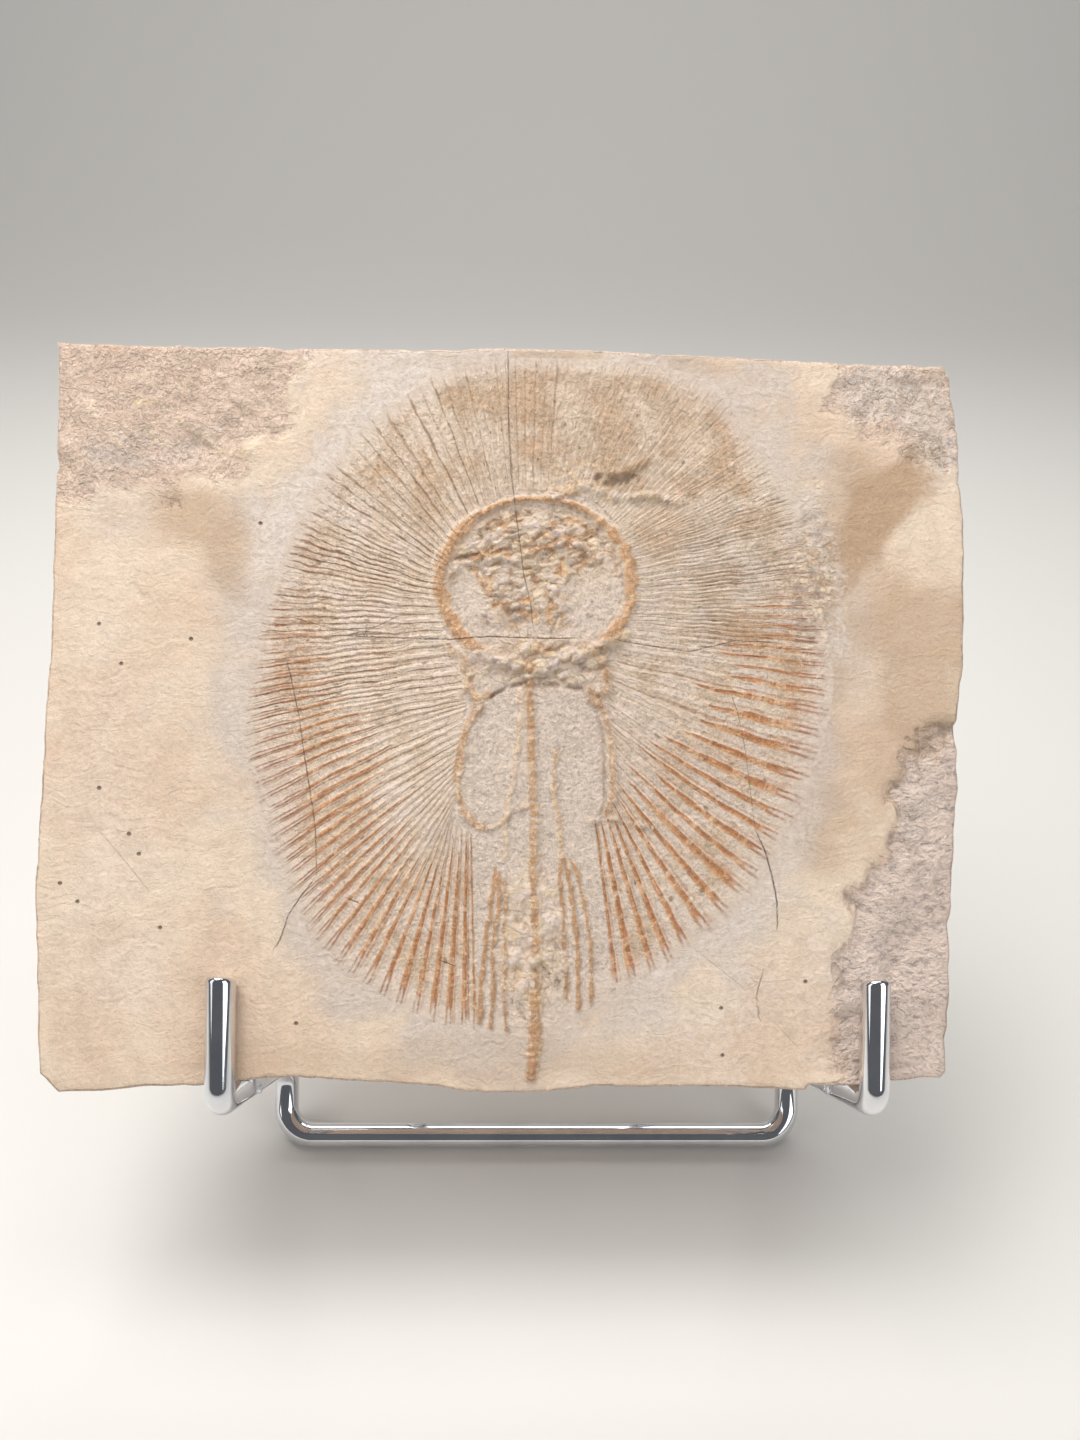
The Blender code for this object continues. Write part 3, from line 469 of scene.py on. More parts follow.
def faceRelief(places):
    # height of the face off the rays, its bones (tan, dark with painted shade, cream with painted highlight),
    # and how rough and full of rubble it is
    u, v = places.T
    height = 0.12 * np.sin(u * 0.11 + 1.0) * np.cos(v * 0.09) - 0.14
    bones = np.zeros((3, len(u)))
    rough = np.zeros(len(u))
    fine = roughness(places, 1.7, 3, 5.0)
    height += roughness(places, 9.0, 3, 1.0) * 0.07 + fine * 0.04

    centreU, centreV = body["ringCentre"]
    radiusU, radiusV = body["ringRadii"]
    offset = (np.hypot((u - centreU) / radiusU, (v - centreV) / radiusV) - 1) * radiusU
    width = body["ringHalfWidth"] * (1 - 0.5 * smooth((v - 89) / 5)) * (1 + 0.08 * smooth((-u - 12) / 3))
    band = smooth(1.2 - np.abs(offset) / width + fine * 0.15)
    upper = smooth((v - 69.5) / 3.5)
    turn = np.arctan2(v - centreV, u - centreU)
    height += body["ringHeight"] * band * (0.95 + 0.3 * fine) * (0.5 + 0.5 * upper)
    bones[0] += band * upper * (1.1 + 0.35 * smooth((82 - v) / 8) * smooth((-u - 8) / 4) + 0.6 * fine)
    dotted = smooth(np.cos(turn * 60) + 0.2) * smooth((u + 2) / 3)
    bones[1] += smooth(1 - np.abs(offset + width * 1.1) / 0.4) * upper * (0.25 + 0.6 * dotted)
    bones[2] += smooth(1 - np.abs(offset - width * 1.25) / 0.5) * 0.9 * smooth(fine * 2 + 0.8)

    waver = np.column_stack((roughness(places, 3.0, 3, 41.0), roughness(places, 3.0, 3, 43.0))) * 0.35
    signed = fromLine(places + waver * 0.5, body["spine"])
    distance = np.abs(signed)
    spine = smooth(1.2 - distance / body["spineHalfWidth"])
    bead = 0.5 + 0.5 * np.cos(2 * math.pi * v / body["beadSpacing"])
    height += body["spineHeight"] * spine * (0.65 + 0.35 * bead)
    bones[0] += spine * (0.65 + 0.5 * bead + 0.5 * smooth((16 - v) / 6)) * (0.7 + 0.5 * smooth(fine + 0.5))
    bones[1] += spine * (1 - bead) * 0.55 * smooth(fine * 3 + 0.6)
    bones[1] += smooth(1 - np.abs(signed - body["spineHalfWidth"]) / 0.35) * 0.5 * smooth(fine * 3 + 0.4)
    flank = smooth(1 - np.abs(distance - body["spineHalfWidth"] * 0.9) / 0.5)
    bones[2] += flank * bead * 0.9 * smooth(fine * 3 + 0.7)

    for line, half, rise, orange, dark, cream in body["bars"]:
        signed = fromLine(places + waver, line)
        mask = smooth(1.25 - np.abs(signed) / half + fine * 0.35)
        height += rise * mask * (0.8 + 0.7 * fine)
        bones += np.outer((orange * 1.3, dark, cream), mask)
        bones[1] += smooth(1 - np.abs(signed - half * 1.2) / 0.35) * 0.45 * smooth(fine * 3 + 0.6)
    for *spot, rise, orange, dark, cream in body["lumps"]:
        mask = blob(places, *spot)
        height += rise * mask * (0.8 + 0.5 * fine)
        bones += np.outer((orange, dark, cream), mask * smooth(0.75 + fine))
    # each groove is cut in and darkened with painted shade
    for line, half, depth, darkness in body["grooves"]:
        distance = np.abs(fromLine(places, line))
        mask = smooth(1.3 - distance / half + fine * 0.5 * half) * smooth(fine * 2.5 + 0.8)
        height -= depth * mask
        bones[1] += darkness * mask

    # bony rubble in the skull, at the shoulders and round the hips
    rubble = 0.95 * smooth(-0.5 - offset / 1.6) * smooth((v - 73) / 3) + blobs(places, body["rubble"])
    rubble = np.clip(rubble * np.clip(1 - blobs(places, body["lobes"]), 0, 1), 0, 1)
    skull = smooth((v - 72) / 3)
    chips = roughness(places * (0.75, 1.25) + roughness(places, 4.0, 2, 9.0)[:, None] * 1.5, 1.9, 4, 11.0)
    tint = roughness(places, 1.5, 4, 13.0)
    height += rubble * chips * 0.6
    bones[0] += rubble * smooth(tint * 2.2 + 0.4 + skull * 0.25) * (0.5 + 0.35 * skull)
    # darker in the hollows between chips and creamier on their crests: the bones' own colours, with painted
    # shade and highlight following the chip relief
    bones[1] += rubble * smooth(-chips * 3.2 - 0.2) * (0.45 + 0.35 * skull)
    bones[2] += rubble * smooth(chips * 3.2 - 0.05) * 0.75

    ragged = roughness(places, 5.0, 4, 3.0) * 2.2
    facets = roughness(places, 10.0, 2, 8.0)
    for line, depth, coarse, softness in stoneBlock["steps"]:
        signed = fromLine(places, line)
        beyond = smooth((signed + ragged * softness ** 0.5) / softness + 0.5)
        height -= depth * beyond
        rough = np.maximum(rough, coarse * beyond)
        if softness < 3:
            # painted shade along the undercut foot of the sharp step
            bones[1] += smooth(1 - np.abs(signed + ragged - 0.5) / 0.9) * smooth(facets * 3 + 0.3) * 0.15
    # painted shade on the facets that face away from the light; they also sink a little
    for line, half, strength in stoneBlock["facets"]:
        mask = smooth(1.35 - np.abs(fromLine(places, line)) / half + fine * 0.6) * smooth(rough * 4 - 2)
        bones[1] += 0.55 * strength * mask
        height -= 0.2 * mask
    for line, half, rise, cream, dark in stoneBlock["flakes"]:
        mask = smooth(1.3 - np.abs(fromLine(places + waver * 1.6, line)) / half + fine * 0.8)
        height += rise * mask
        bones[1] += dark * mask
        bones[2] += cream * mask
    flakes = roughness(places, 4.2, 5, 2.0)
    layers = np.floor(flakes * 4 + fine * 0.7) / 4
    height += rough * (layers * 0.6 + flakes * 0.35 + fine * 0.28 + facets * 0.55)
    return height, bones, rough, rubble


def groundPaint(places, rimDistance):
    # grey halo round the disc, stains and pale bloom of the bare stone
    patchy = roughness(places, 11.0, 4, 7.0)
    halo = smooth(1.05 - rimDistance / 13 + patchy * 0.7)
    grounds = [patchwork(halo, places, stoneBlock["greyPatches"], patchy)]
    for label, reach, broken in (("stains", 1.7, 0.9), ("blooms", 1.6, 1.1)):
        grounds.append(np.maximum.reduce([
            strength * smooth((reach - np.abs(fromLine(places, line)) / half + patchy * broken) / 1.4)
            for line, half, strength in stoneBlock[label]
        ]))
    return grounds


def rayPaint(places, number, share):
    # each ray is a bold orange stripe near the rim below, and a thin dark line above
    chance = random.Random(finRays["stripeSeed"])
    jitters = np.array([[chance.uniform(-1, 1) for _ in range(finRays["count"] + 1)] for _ in range(3)])
    start, strength, darkness = jitters[:, np.clip(np.round(number).astype(int), 0, finRays["count"])]
    bold = smooth((share - byNumber(number, "boldFrom") - start * 0.08) / 0.3 + 0.5)
    orange = byNumber(number, "orange") * bold * (0.82 + 0.18 * strength)
    dark = byNumber(number, "thinLines") * (0.68 + 0.6 * darkness) * smooth(share * 8 + 0.4)
    cream = byNumber(number, "cream") * smooth(1.6 - share * 1.7)
    mottled = roughness(places, 6.0, 4, 17.0)
    tan = np.clip(byNumber(number, "tan") + mottled * 0.9, 0, 1) * smooth(share * 3 + 0.3)
    patch = 0.55 * smooth(mottled * 3 - 0.2) * smooth((places[:, 1] - 88) / 8)
    patch = patchwork(patch, places, finRays["blotches"], mottled) * smooth(fadeOut(share) * 1.2)
    return np.array((orange, dark, cream)), tan, byNumber(number, "doubled"), patch


def crackField(places):
    # signed distance to the nearest hairline, where it counts, and how dark it is
    signed, nearest = np.full((2, len(places)), 3.0)
    darkness = np.zeros(len(places))
    for line, half, dark in hairlines:
        distance, along = nearLine(places, line)
        closer = np.abs(distance) < nearest
        nearest[closer] = np.abs(distance[closer])
        signed[closer] = distance[closer] / half
        darkness[closer] = dark * smooth(np.minimum(along, 1 - along) * 12 + 0.15)[closer]
    return np.array((signed, smooth(1.8 - nearest / 0.9), darkness))


def dressPlaces(places, number, share, onRays, rimDistance, inDisc):
    # world places of face points, with the attributes that the material reads
    height, bones, rough, rubble = faceRelief(places)
    halo, stain, pale = groundPaint(places, rimDistance)
    stripes, tan, doubled, patch = rayPaint(places, number, share)
    phase = np.abs(number - np.round(number))
    chance = random.Random(finRays["ridgeSeed"])
    perRay = np.array([chance.uniform(0.5, 1.2) for _ in range(finRays["count"] + 1)])
    tallness = perRay[np.clip(np.round(number).astype(int), 0, finRays["count"])]
    broken = np.array([noise.fractal((n * 0.9, s * 9, 4.0), 0.8, 2.1, 3) for n, s in zip(number, share)])
    faded = fadeOut(share)
    tallness = tallness * byNumber(number, "tallness")
    ridge = finRays["ridge"] * (0.5 + 0.5 * np.cos(2 * math.pi * phase)) * tallness
    ridge *= smooth(share * 5 + 0.25) * faded * (0.8 + 0.9 * broken)
    height += onRays * (ridge - finRays["sink"] * smooth(share * 5) * faded)
    inside = faded * inDisc
    greyRays = byNumber(number, "grey") * (1 - 0.4 * tan) * (0.85 + 0.25 * share)
    within = np.where(onRays > 0.5, greyRays, 0.9 - blobs(places, body["brown"]))
    if inDisc > 0.5:
        halo, stain, pale = within + (0.8 - within) * (1 - faded), tan * onRays * inside, patch * onRays
    fields = {
        "bony": bones.T, "stripe": (stripes * onRays).T, "ground": np.column_stack((halo, stain, rough)),
        "crack": crackField(places).T, "rays": np.column_stack((number, share, onRays)),
        "fray": np.column_stack((doubled * onRays, pale, inside)),
        "rubble": np.column_stack((rubble, byNumber(number, "darkTips"), np.zeros(len(places)))),
    }
    return slabToWorld(places, height), fields, height


def outlineHits(rim):
    # where lines from the body's middle through the rim meet the slab's outline, with its corners kept
    middle = np.array(stoneBlock["middle"])
    corners = np.array(stoneBlock["outline"], float)
    starts, ends = corners, np.roll(corners, -1, axis=0)
    hits = np.empty_like(rim)
    for index, point in enumerate(rim):
        heading = point - middle
        run = ends - starts
        cross = heading[0] * run[:, 1] - heading[1] * run[:, 0]
        gap = starts - middle
        reach = (gap[:, 0] * run[:, 1] - gap[:, 1] * run[:, 0]) / cross
        along = (gap[:, 0] * heading[1] - gap[:, 1] * heading[0]) / cross
        good = (reach > 0) & (along >= -1e-9) & (along <= 1 + 1e-9)
        hits[index] = middle + heading * reach[good].min()
    for corner in corners:
        nearest = np.argmin(np.hypot(*(hits - corner).T))
        hits[nearest] = corner
    return hits


def inward(loop):
    # unit vectors that point into a clockwise loop
    run = np.roll(loop, -1, axis=0) - np.roll(loop, 1, axis=0)
    normal = np.column_stack((run[:, 1], -run[:, 0]))
    return normal / np.hypot(*normal.T)[:, None]


def gridPiece(name, spots, fields):
    # a grid primitive, its points then put in their places
    rows, columns = spots.shape[:2]
    bpy.ops.object.select_all(action="DESELECT")
    bpy.ops.mesh.primitive_grid_add(x_subdivisions=columns - 1, y_subdivisions=rows - 1, size=1)
    piece = bpy.context.object
    piece.name = name
    piece.data.vertices.foreach_set("co", spots.reshape(-1, 3).ravel())
    for label, values in fields.items():
        attribute = piece.data.attributes.new(label, "FLOAT_VECTOR", "POINT")
        attribute.data.foreach_set("vector", values.reshape(-1, 3).astype(np.float32).ravel())
    return piece


def shaped(flat, rows, columns):
    return {label: values.reshape(rows, columns, 3) for label, values in flat.items()}


def closedLoop(rows):
    rows = np.array(rows)
    return np.concatenate((rows, rows[:, :1]), axis=1)


def buildSlab():
    columns = finRays["count"] * finRays["columnsPerRay"] + 1
    rows = finRays["rows"]
    number = np.tile(np.arange(columns) / finRays["columnsPerRay"], rows)
    share = np.repeat(np.arange(rows) / (rows - 1), columns)
    places = rayPlaces(number, share)
    ones = np.ones(len(places))
    spots, fields, heights = dressPlaces(places, number, share, ones, ones * 0, 1.0)
    stripPlaces = places.reshape(rows, columns, 2)
    stripSpots = spots.reshape(rows, columns, 3)
    stripFields = shaped(fields, rows, columns)
    print("fin rays laid out")

    # body: rungs from the first ray and the body's left edge to the last ray and its right edge
    half = columns // 2
    left = np.concatenate((stripPlaces[::-1, 0], stripPlaces[0, 1:half + 1]))
    right = np.concatenate((stripPlaces[::-1, -1], stripPlaces[0, -2:half - 1:-1]))
    steps = np.linspace(0, 1, body["rungSteps"] + 1)
    rungs = left[:, None] * (1 - steps[:, None]) + right[:, None] * steps[:, None]
    tail = np.array(finRays["tailRim"][::-1], float)
    walked = np.concatenate(([0], np.cumsum(np.hypot(*np.diff(tail, axis=0).T))))
    tail = np.column_stack([np.interp(steps * walked[-1], walked, tail[:, axis]) for axis in (0, 1)])
    tail[0], tail[-1] = left[0], right[0]
    fade = np.clip(1 - np.arange(len(rungs)) / body["tailRows"], 0, 1) ** 2
    rungs += fade[:, None, None] * (tail - rungs[0])[None]
    flat = rungs.reshape(-1, 2)
    leftNumber = np.concatenate((np.zeros(rows), np.arange(1, half + 1) / finRays["columnsPerRay"]))
    rightNumber = finRays["count"] - leftNumber
    bodyNumber = np.where(steps[None] < 0.5, leftNumber[:, None], rightNumber[:, None]).ravel()
    bodyShare = np.concatenate((np.linspace(1, 0, rows), np.zeros(half)))
    bodyShare = bodyShare.repeat(len(steps))
    ones = np.ones(len(flat))
    spots, fields, heights = dressPlaces(flat, bodyNumber, bodyShare, ones * 0, ones * farAway, 1.0)
    bodySpots = spots.reshape(*rungs.shape[:2], 3)
    bodyFields = shaped(fields, *rungs.shape[:2])
    pairs = [(bodySpots, stripSpots)] + [(bodyFields[label], stripFields[label]) for label in bodyFields]
    for target, source in pairs:
        target[:, 0] = np.concatenate((source[::-1, 0], source[0, 1:half + 1]))
        target[:, -1] = np.concatenate((source[::-1, -1], source[0, -2:half - 1:-1]))
    print("body laid out")

    # stone outside the disc, then the broken edge, the wall and the back, which closes at its middle
    rim = np.concatenate((stripPlaces[-1], tail[-2:0:-1]))
    count = len(rim)
    rimNumber = np.concatenate((np.arange(columns) / finRays["columnsPerRay"], np.zeros(count - columns)))
    outline = outlineHits(rim)
    nibble = 0.04 + stoneBlock["edgeNibble"] * np.clip(roughness(outline, 3.5, 4, 21.0) + 0.35, 0, 1)
    fromHooks = np.abs(np.abs(outline[:, 0]) - stoneBlock["hooksAside"]) - 4
    awayFromHooks = smooth(fromHooks / 3 + smooth(outline[:, 1] - 4))
    outline = outline + inward(outline) * (nibble * awayFromHooks)[:, None]
    outline[:, 1] = np.minimum(outline[:, 1], stoneBlock["crest"])
    pull = (rim - outline) / np.hypot(*(rim - outline).T)[:, None]
    pull /= np.clip((pull * inward(outline)).sum(axis=1), 0.55, 1)[:, None]
    margin = outline + pull * stoneBlock["arris"]
    share = np.linspace(0, 1, stoneBlock["rimRows"] + 1)
    faceRows = rim[None] * (1 - share[:, None, None]) + margin[None] * share[:, None, None]
    flat = faceRows.reshape(-1, 2)
    rimDistance = np.hypot(*(faceRows - rim[None]).transpose(2, 0, 1)).ravel()
    spots, fields, heights = dressPlaces(
        flat, np.tile(rimNumber, len(share)), np.ones(len(flat)), np.zeros(len(flat)), rimDistance, 0.0)
    outerSpots = list(spots.reshape(len(share), count, 3))
    outerFields = {label: list(values) for label, values in shaped(fields, len(share), count).items()}
    bottomRow = bodySpots[0, -2:0:-1]
    outerSpots[0] = np.concatenate((stripSpots[-1], bottomRow))
    for label in outerFields:
        outerFields[label][0] = np.concatenate((stripFields[label][-1], bodyFields[label][0, -2:0:-1]))
    top = heights.reshape(len(share), count)[-1]
    thickness = stoneBlock["thickness"]
    edges = [(stoneBlock["arris"] * 0.3, top - stoneBlock["arris"] * 0.32), (0.0, top - stoneBlock["arris"])]
    for step in range(1, stoneBlock["wallRows"] + 1):
        part = step / (stoneBlock["wallRows"] + 1)
        level = (top - stoneBlock["arris"]) * (1 - part) - (thickness - stoneBlock["backArris"]) * part
        wear = np.array([noise.fractal((u / 5, v / 5, part * 2.4), 0.8, 2.2, 5) for u, v in outline])
        edges.append((stoneBlock["wallDip"] * np.clip(wear + 0.3, 0, 1) * awayFromHooks, level))
    arris = stoneBlock["backArris"]
    edges += [(0.0, np.full(count, arris - thickness)), (0.3, np.full(count, 0.3 - thickness))]
    for inset, level in edges:
        outerSpots.append(slabToWorld(outline + pull * np.broadcast_to(inset, count)[:, None], level))
    backMargin = outline + pull * arris
    middle = np.array(stoneBlock["backMiddle"])
    for step in range(stoneBlock["backRows"] + 1):
        part = (step / stoneBlock["backRows"]) ** 0.8
        ring = backMargin * (1 - part) + middle * part
        saw = np.clip(roughness(ring, 14.0, 4, 31.0) * 0.25 + 0.12, 0, 0.4) * min(step, 1)
        outerSpots.append(slabToWorld(ring, saw - thickness))
    plain = {
        "bony": (0, 0, 0), "stripe": (0, 0, 0), "ground": (0, 0.15, 0.8), "crack": (3, 0, 0),
        "rays": (0, 1, 0), "fray": (0, 0, 0), "rubble": (0, 0, 0),
    }
    for label, rowsSoFar in outerFields.items():
        while len(rowsSoFar) < len(outerSpots):
            rowsSoFar.append(np.tile(np.array(plain[label], float), (count, 1)))
    outerSpots = closedLoop(outerSpots)
    outerFields = {label: closedLoop(values) for label, values in outerFields.items()}
    print("bare stone, edge and back laid out")

    pieces = [
        gridPiece("fossilSlab", stripSpots, stripFields),
        gridPiece("slabBody", bodySpots, bodyFields),
        gridPiece("slabStone", outerSpots, outerFields),
    ]
    bpy.ops.object.select_all(action="DESELECT")
    for piece in pieces:
        piece.select_set(True)
    bpy.context.view_layer.objects.active = pieces[0]
    bpy.ops.object.join()
    closeUp()
    bpy.ops.object.shade_smooth()
    slab = bpy.context.object
    mesh = slab.data
    triangles = sum(len(face.vertices) - 2 for face in mesh.polygons)
    print("slab:", len(mesh.vertices), "points,", triangles, "triangles")
    return slab


# small steps for building materials, in the node tree at hand
workbench = {}


def newMaterial(name):
    finish = bpy.data.materials.new(name)
    finish.use_nodes = True
    workbench["tree"] = finish.node_tree
    return finish, finish.node_tree.nodes["Principled BSDF"]


def wire(kind, links, **settings):
    tree = workbench["tree"]
    item = tree.nodes.new("ShaderNode" + kind)
    for label, value in settings.items():
        setattr(item, label, value)
    for slot, value in links.items():
        if isinstance(value, bpy.types.NodeSocket):
            tree.links.new(value, item.inputs[slot])
        else:
            item.inputs[slot].default_value = value
    return item.outputs


def calc(operation, first, second=0.0, third=0.0):
    return wire("Math", {0: first, 1: second, 2: third}, operation=operation)[0]


def times(first, second):
    return calc("MULTIPLY", first, second)


def plus(first, second):
    return calc("ADD", first, second)


def minus(first, second):
    return calc("SUBTRACT", first, second)


def timesPlus(first, second, third):
    return calc("MULTIPLY_ADD", first, second, third)


def larger(first, second):
    return calc("MAXIMUM", first, second)


def atMost(value, limit=1.0):
    return calc("MINIMUM", value, limit)


def centred(value, amount):
    return times(minus(value, 0.5), amount)


def flip(value):
    return minus(1.0, value)


def ease(value, low, high):
    links = {"Value": value, "From Min": low, "From Max": high}
    return wire("MapRange", links, interpolation_type="SMOOTHSTEP")[0]


def mix(factor, first, second):
    return wire("Mix", {0: factor, 6: first, 7: second}, data_type="RGBA")[2]


def choose(factor, first, second):
    return wire("Mix", {0: factor, 2: first, 3: second}, data_type="FLOAT")[0]


def cloud(place, scale, detail=4.0, rough=0.55, warp=0.0):
    links = {"Vector": place, "Scale": scale, "Detail": detail, "Roughness": rough, "Distortion": warp}
    return wire("TexNoise", links)[0]


def joined(x=0.0, y=0.0, z=0.0):
    return wire("CombineXYZ", {0: x, 1: y, 2: z})[0]


def vectorCalc(operation, first, second):
    return wire("VectorMath", {0: first, 1: second}, operation=operation)[0]


def parts(label):
    field = wire("Attribute", {}, attribute_name=label)[1]
    return list(wire("SeparateXYZ", {0: field}))


def connect(value, shader, slot):
    workbench["tree"].links.new(value, shader.inputs[slot])


def addBump(shader, relief, distance, strength):
    bump = wire("Bump", {"Height": relief, "Distance": distance, "Strength": strength})[0]
    connect(bump, shader, "Normal")


limestone = {
    "light": tone(235, 214, 191), "peach": tone(226, 200, 176), "grey": tone(216, 200, 187),
    "bloom": tone(234, 222, 212), "stain": tone(192, 162, 133), "flake": tone(240, 210, 192),
    "disc": tone(204, 179, 154), "rough": tone(252, 231, 219), "orange": tone(213, 162, 119),
    "paleOrange": tone(231, 194, 158), "deepOrange": tone(180, 122, 82), "darkRed": tone(158, 106, 84),
    "bone": tone(212, 166, 126), "yellowBone": tone(224, 197, 162), "shade": tone(134, 105, 84),
    "line": tone(150, 112, 82), "cream": tone(252, 229, 207), "ivory": tone(250, 223, 188),
    "crack": tone(92, 74, 64),
    "brightest": (1.0, 0.81, 0.69), "roughness": 0.88, "specular": 0.25,
}


def limestoneMaterial():
    finish, shader = newMaterial("fossilLimestone")
    place = wire("TexCoord", {})["Object"]
    place = wire("Mapping", {
        "Vector": place, "Location": [part * mm for part in slabStand["origin"]],
        "Rotation": (-lean, 0, 0), "Scale": (mm, mm, mm),
    }, vector_type="TEXTURE")[0]
    boneTan, boneDarkAndShade, boneCreamAndHighlight = parts("bony")
    orange, dark, cream = parts("stripe")
    halo, stain, rough = parts("ground")
    crackSide, crackNear, crackDark = parts("crack")
    number, share, onRays = parts("rays")
    doubled, patch, inside = parts("fray")
    rubble, tipStart = parts("rubble")[:2]

    def paint(colour, amount, label):
        return mix(amount, colour, limestone[label])

    broad = cloud(place, 0.05, 3)
    medium = cloud(place, 0.3, 5, 0.62, 0.3)
    streaks = vectorCalc("MULTIPLY", place, (0.09, 0.6, 1.0))
    streaks = vectorCalc("ADD", streaks, joined(z=centred(cloud(place, 0.12, 2), 9.0)))
    fine = cloud(place, 1.5, 5, 0.68)
    speck = cloud(place, 3.4, 3, 0.7)
    grit = cloud(place, 5.0, 1, 0.6)
    crumb = cloud(place, 0.75, 6, 0.7, 0.6)
    tooling = cloud(streaks, 0.7, 2, 0.55, 0.5)

    # bare stone: blotches, grey halo, stains
    colour = mix(ease(broad, 0.38, 0.62), limestone["light"], limestone["peach"])
    pebbly = ease(rough, 0.78, 0.98)
    flaky = times(ease(plus(rough, centred(medium, 0.5)), 0.2, 0.5), flip(pebbly))
    colour = paint(colour, times(pebbly, 0.85), "rough")
    colour = paint(colour, times(flaky, 0.6), "flake")
    slant = wire("Mapping", {"Vector": place, "Rotation": (0, -0.6, 0), "Scale": (0.7, 0.7, 1.2)})[0]
    level = plus(times(cloud(slant, 0.12, 6, 0.68, 0.3), 11.0), centred(fine, 0.8))
    lip = calc("FRACT", level)
    terrace = plus(calc("FLOOR", level), ease(lip, 0.8, 1.0))
    # painted shade at the foot of each terrace step
    terraceFootShade = times(times(flip(ease(lip, 0.02, 0.16)), flaky), ease(crumb, 0.44, 0.56))
    colour = paint(colour, times(terraceFootShade, 0.4), "line")
    # painted highlight along the terrace lips
    lip = times(times(ease(lip, 0.66, 0.92), flaky), ease(crumb, 0.4, 0.52))
    colour = paint(colour, times(lip, 0.95), "cream")
    amount = plus(halo, plus(centred(medium, 1.1), centred(broad, 0.5)))
    colour = paint(colour, times(ease(amount, 0.1, 1.1), 0.85), "grey")
    amount = times(ease(plus(halo, centred(crumb, 1.6)), 0.75, 1.5), flip(inside))
    colour = paint(colour, times(amount, 0.6), "bloom")
    brown = mix(inside, limestone["stain"], limestone["disc"])
    amount = plus(stain, plus(centred(medium, 0.6), centred(crumb, 0.4)))
    colour = mix(times(ease(amount, 0.05, 1.0), 0.95), colour, brown)
    amount = times(times(patch, flip(inside)), ease(plus(crumb, centred(fine, 0.6)), 0.3, 0.6))
    colour = paint(colour, times(amount, 0.75), "bloom")

    # fin rays: place across the ray from -0.5 to 0.5, with wandering edges
    wander = plus(centred(cloud(place, 0.28, 2), 0.5), centred(crumb, 0.22))
    wander = times(wander, timesPlus(orange, -0.6, 0.75))
    shifted = plus(number, wander)
    across = minus(calc("FRACT", plus(shifted, 0.5)), 0.5)
    away = times(calc("ABSOLUTE", across), 2.0)
    beat = joined(number, times(share, 9.0))
    broken = cloud(beat, 1.0, 3, 0.55)
    thread = joined(times(shifted, 2.6), times(share, 8.0))
    fibre = cloud(thread, 1.0, 4, 0.65, 0.2)
    fade = flip(ease(plus(share, centred(crumb, 0.3)), 0.9, 1.04))
    inRays = times(onRays, fade)

    width = timesPlus(orange, 0.44, plus(centred(broken, 0.2), centred(fine, 0.3)))
    stripe = flip(ease(minus(away, width), -0.06, 0.12))
    stripe = times(stripe, ease(orange, 0.04, 0.3))
    apart = calc("ABSOLUTE", minus(calc("ABSOLUTE", plus(across, centred(fibre, 0.12))), 0.13))
    tipLine = times(flip(ease(apart, 0.02, 0.1)), ease(plus(orange, centred(fibre, 0.9)), 0.05, 0.5))
    tips = ease(minus(plus(share, centred(broken, 0.12)), tipStart), -0.02, 0.06)
    stripe = choose(tips, stripe, times(tipLine, 0.95))

    singleRib = flip(ease(away, 0.2, 0.7))
    doubleRib = flip(ease(times(calc("PINGPONG", times(shifted, 2.0), 0.5), 2.0), 0.25, 0.8))
    twice = times(doubled, ease(plus(share, centred(crumb, 0.3)), 0.22, 0.34))
    ribs = choose(twice, singleRib, doubleRib)
    ribs = times(ribs, ease(fibre, 0.34, 0.56))
    # the dark lines sit on one flank of each ridge: the rays' own brown lines, placed there as painted shade
    gap = calc("PINGPONG", plus(shifted, 0.34), 0.5)
    doubleGap = times(calc("PINGPONG", plus(times(shifted, 2.0), 0.4), 0.5), 0.6)
    gap = choose(twice, gap, doubleGap)
    lineWidth = times(ease(broken, 0.3, 0.7), 0.12)
    groove = flip(ease(minus(gap, lineWidth), -0.04, 0.07))
    groove = plus(groove, times(ease(fibre, 0.44, 0.34), times(twice, 0.8)))
    groove = times(groove, dark)
    spots = wire("TexVoronoi", {"Vector": beat, "Scale": 1.0, "Randomness": 0.8})["Distance"]
    spots = times(flip(ease(spots, 0.08, 0.17)), flip(tips))

    amount = times(times(ribs, cream), inRays)
    colour = paint(colour, times(amount, 0.75), "cream")
    lines = mix(times(orange, 1.5), limestone["line"], limestone["deepOrange"])
    colour = mix(times(times(groove, inRays), 0.7), colour, lines)
    amount = times(times(patch, ease(fibre, 0.3, 0.6)), times(onRays, 0.75))
    tint = mix(ease(crumb, 0.4, 0.62), limestone["bone"], limestone["stain"])
    colour = mix(amount, colour, tint)
    # each orange stripe is deeper on one side and lighter on the other: painted shade and highlight across
    # the stripe
    amount = ease(plus(across, centred(fibre, 0.5)), -0.1, 0.2)
    tint = mix(amount, limestone["deepOrange"], limestone["orange"])
    tint = paint(tint, times(ease(fibre, 0.5, 0.66), 0.4), "paleOrange")
    segments = joined(times(calc("ROUND", shifted), 3.7), times(share, 15.0))
    segments = plus(cloud(segments, 0.8, 3, 0.6), centred(fine, 0.15))
    tint = paint(tint, times(ease(segments, 0.52, 0.6), 0.55), "paleOrange")
    tint = paint(tint, times(ease(segments, 0.44, 0.36), 0.35), "deepOrange")
    tint = paint(tint, times(tips, 0.8), "darkRed")
    amount = times(times(stripe, inRays), ease(plus(broken, centred(speck, 0.5)), 0.22, 0.4))
    colour = mix(times(amount, 0.95), colour, tint)
    colour = paint(colour, times(times(spots, inRays), 0.65), "shade")

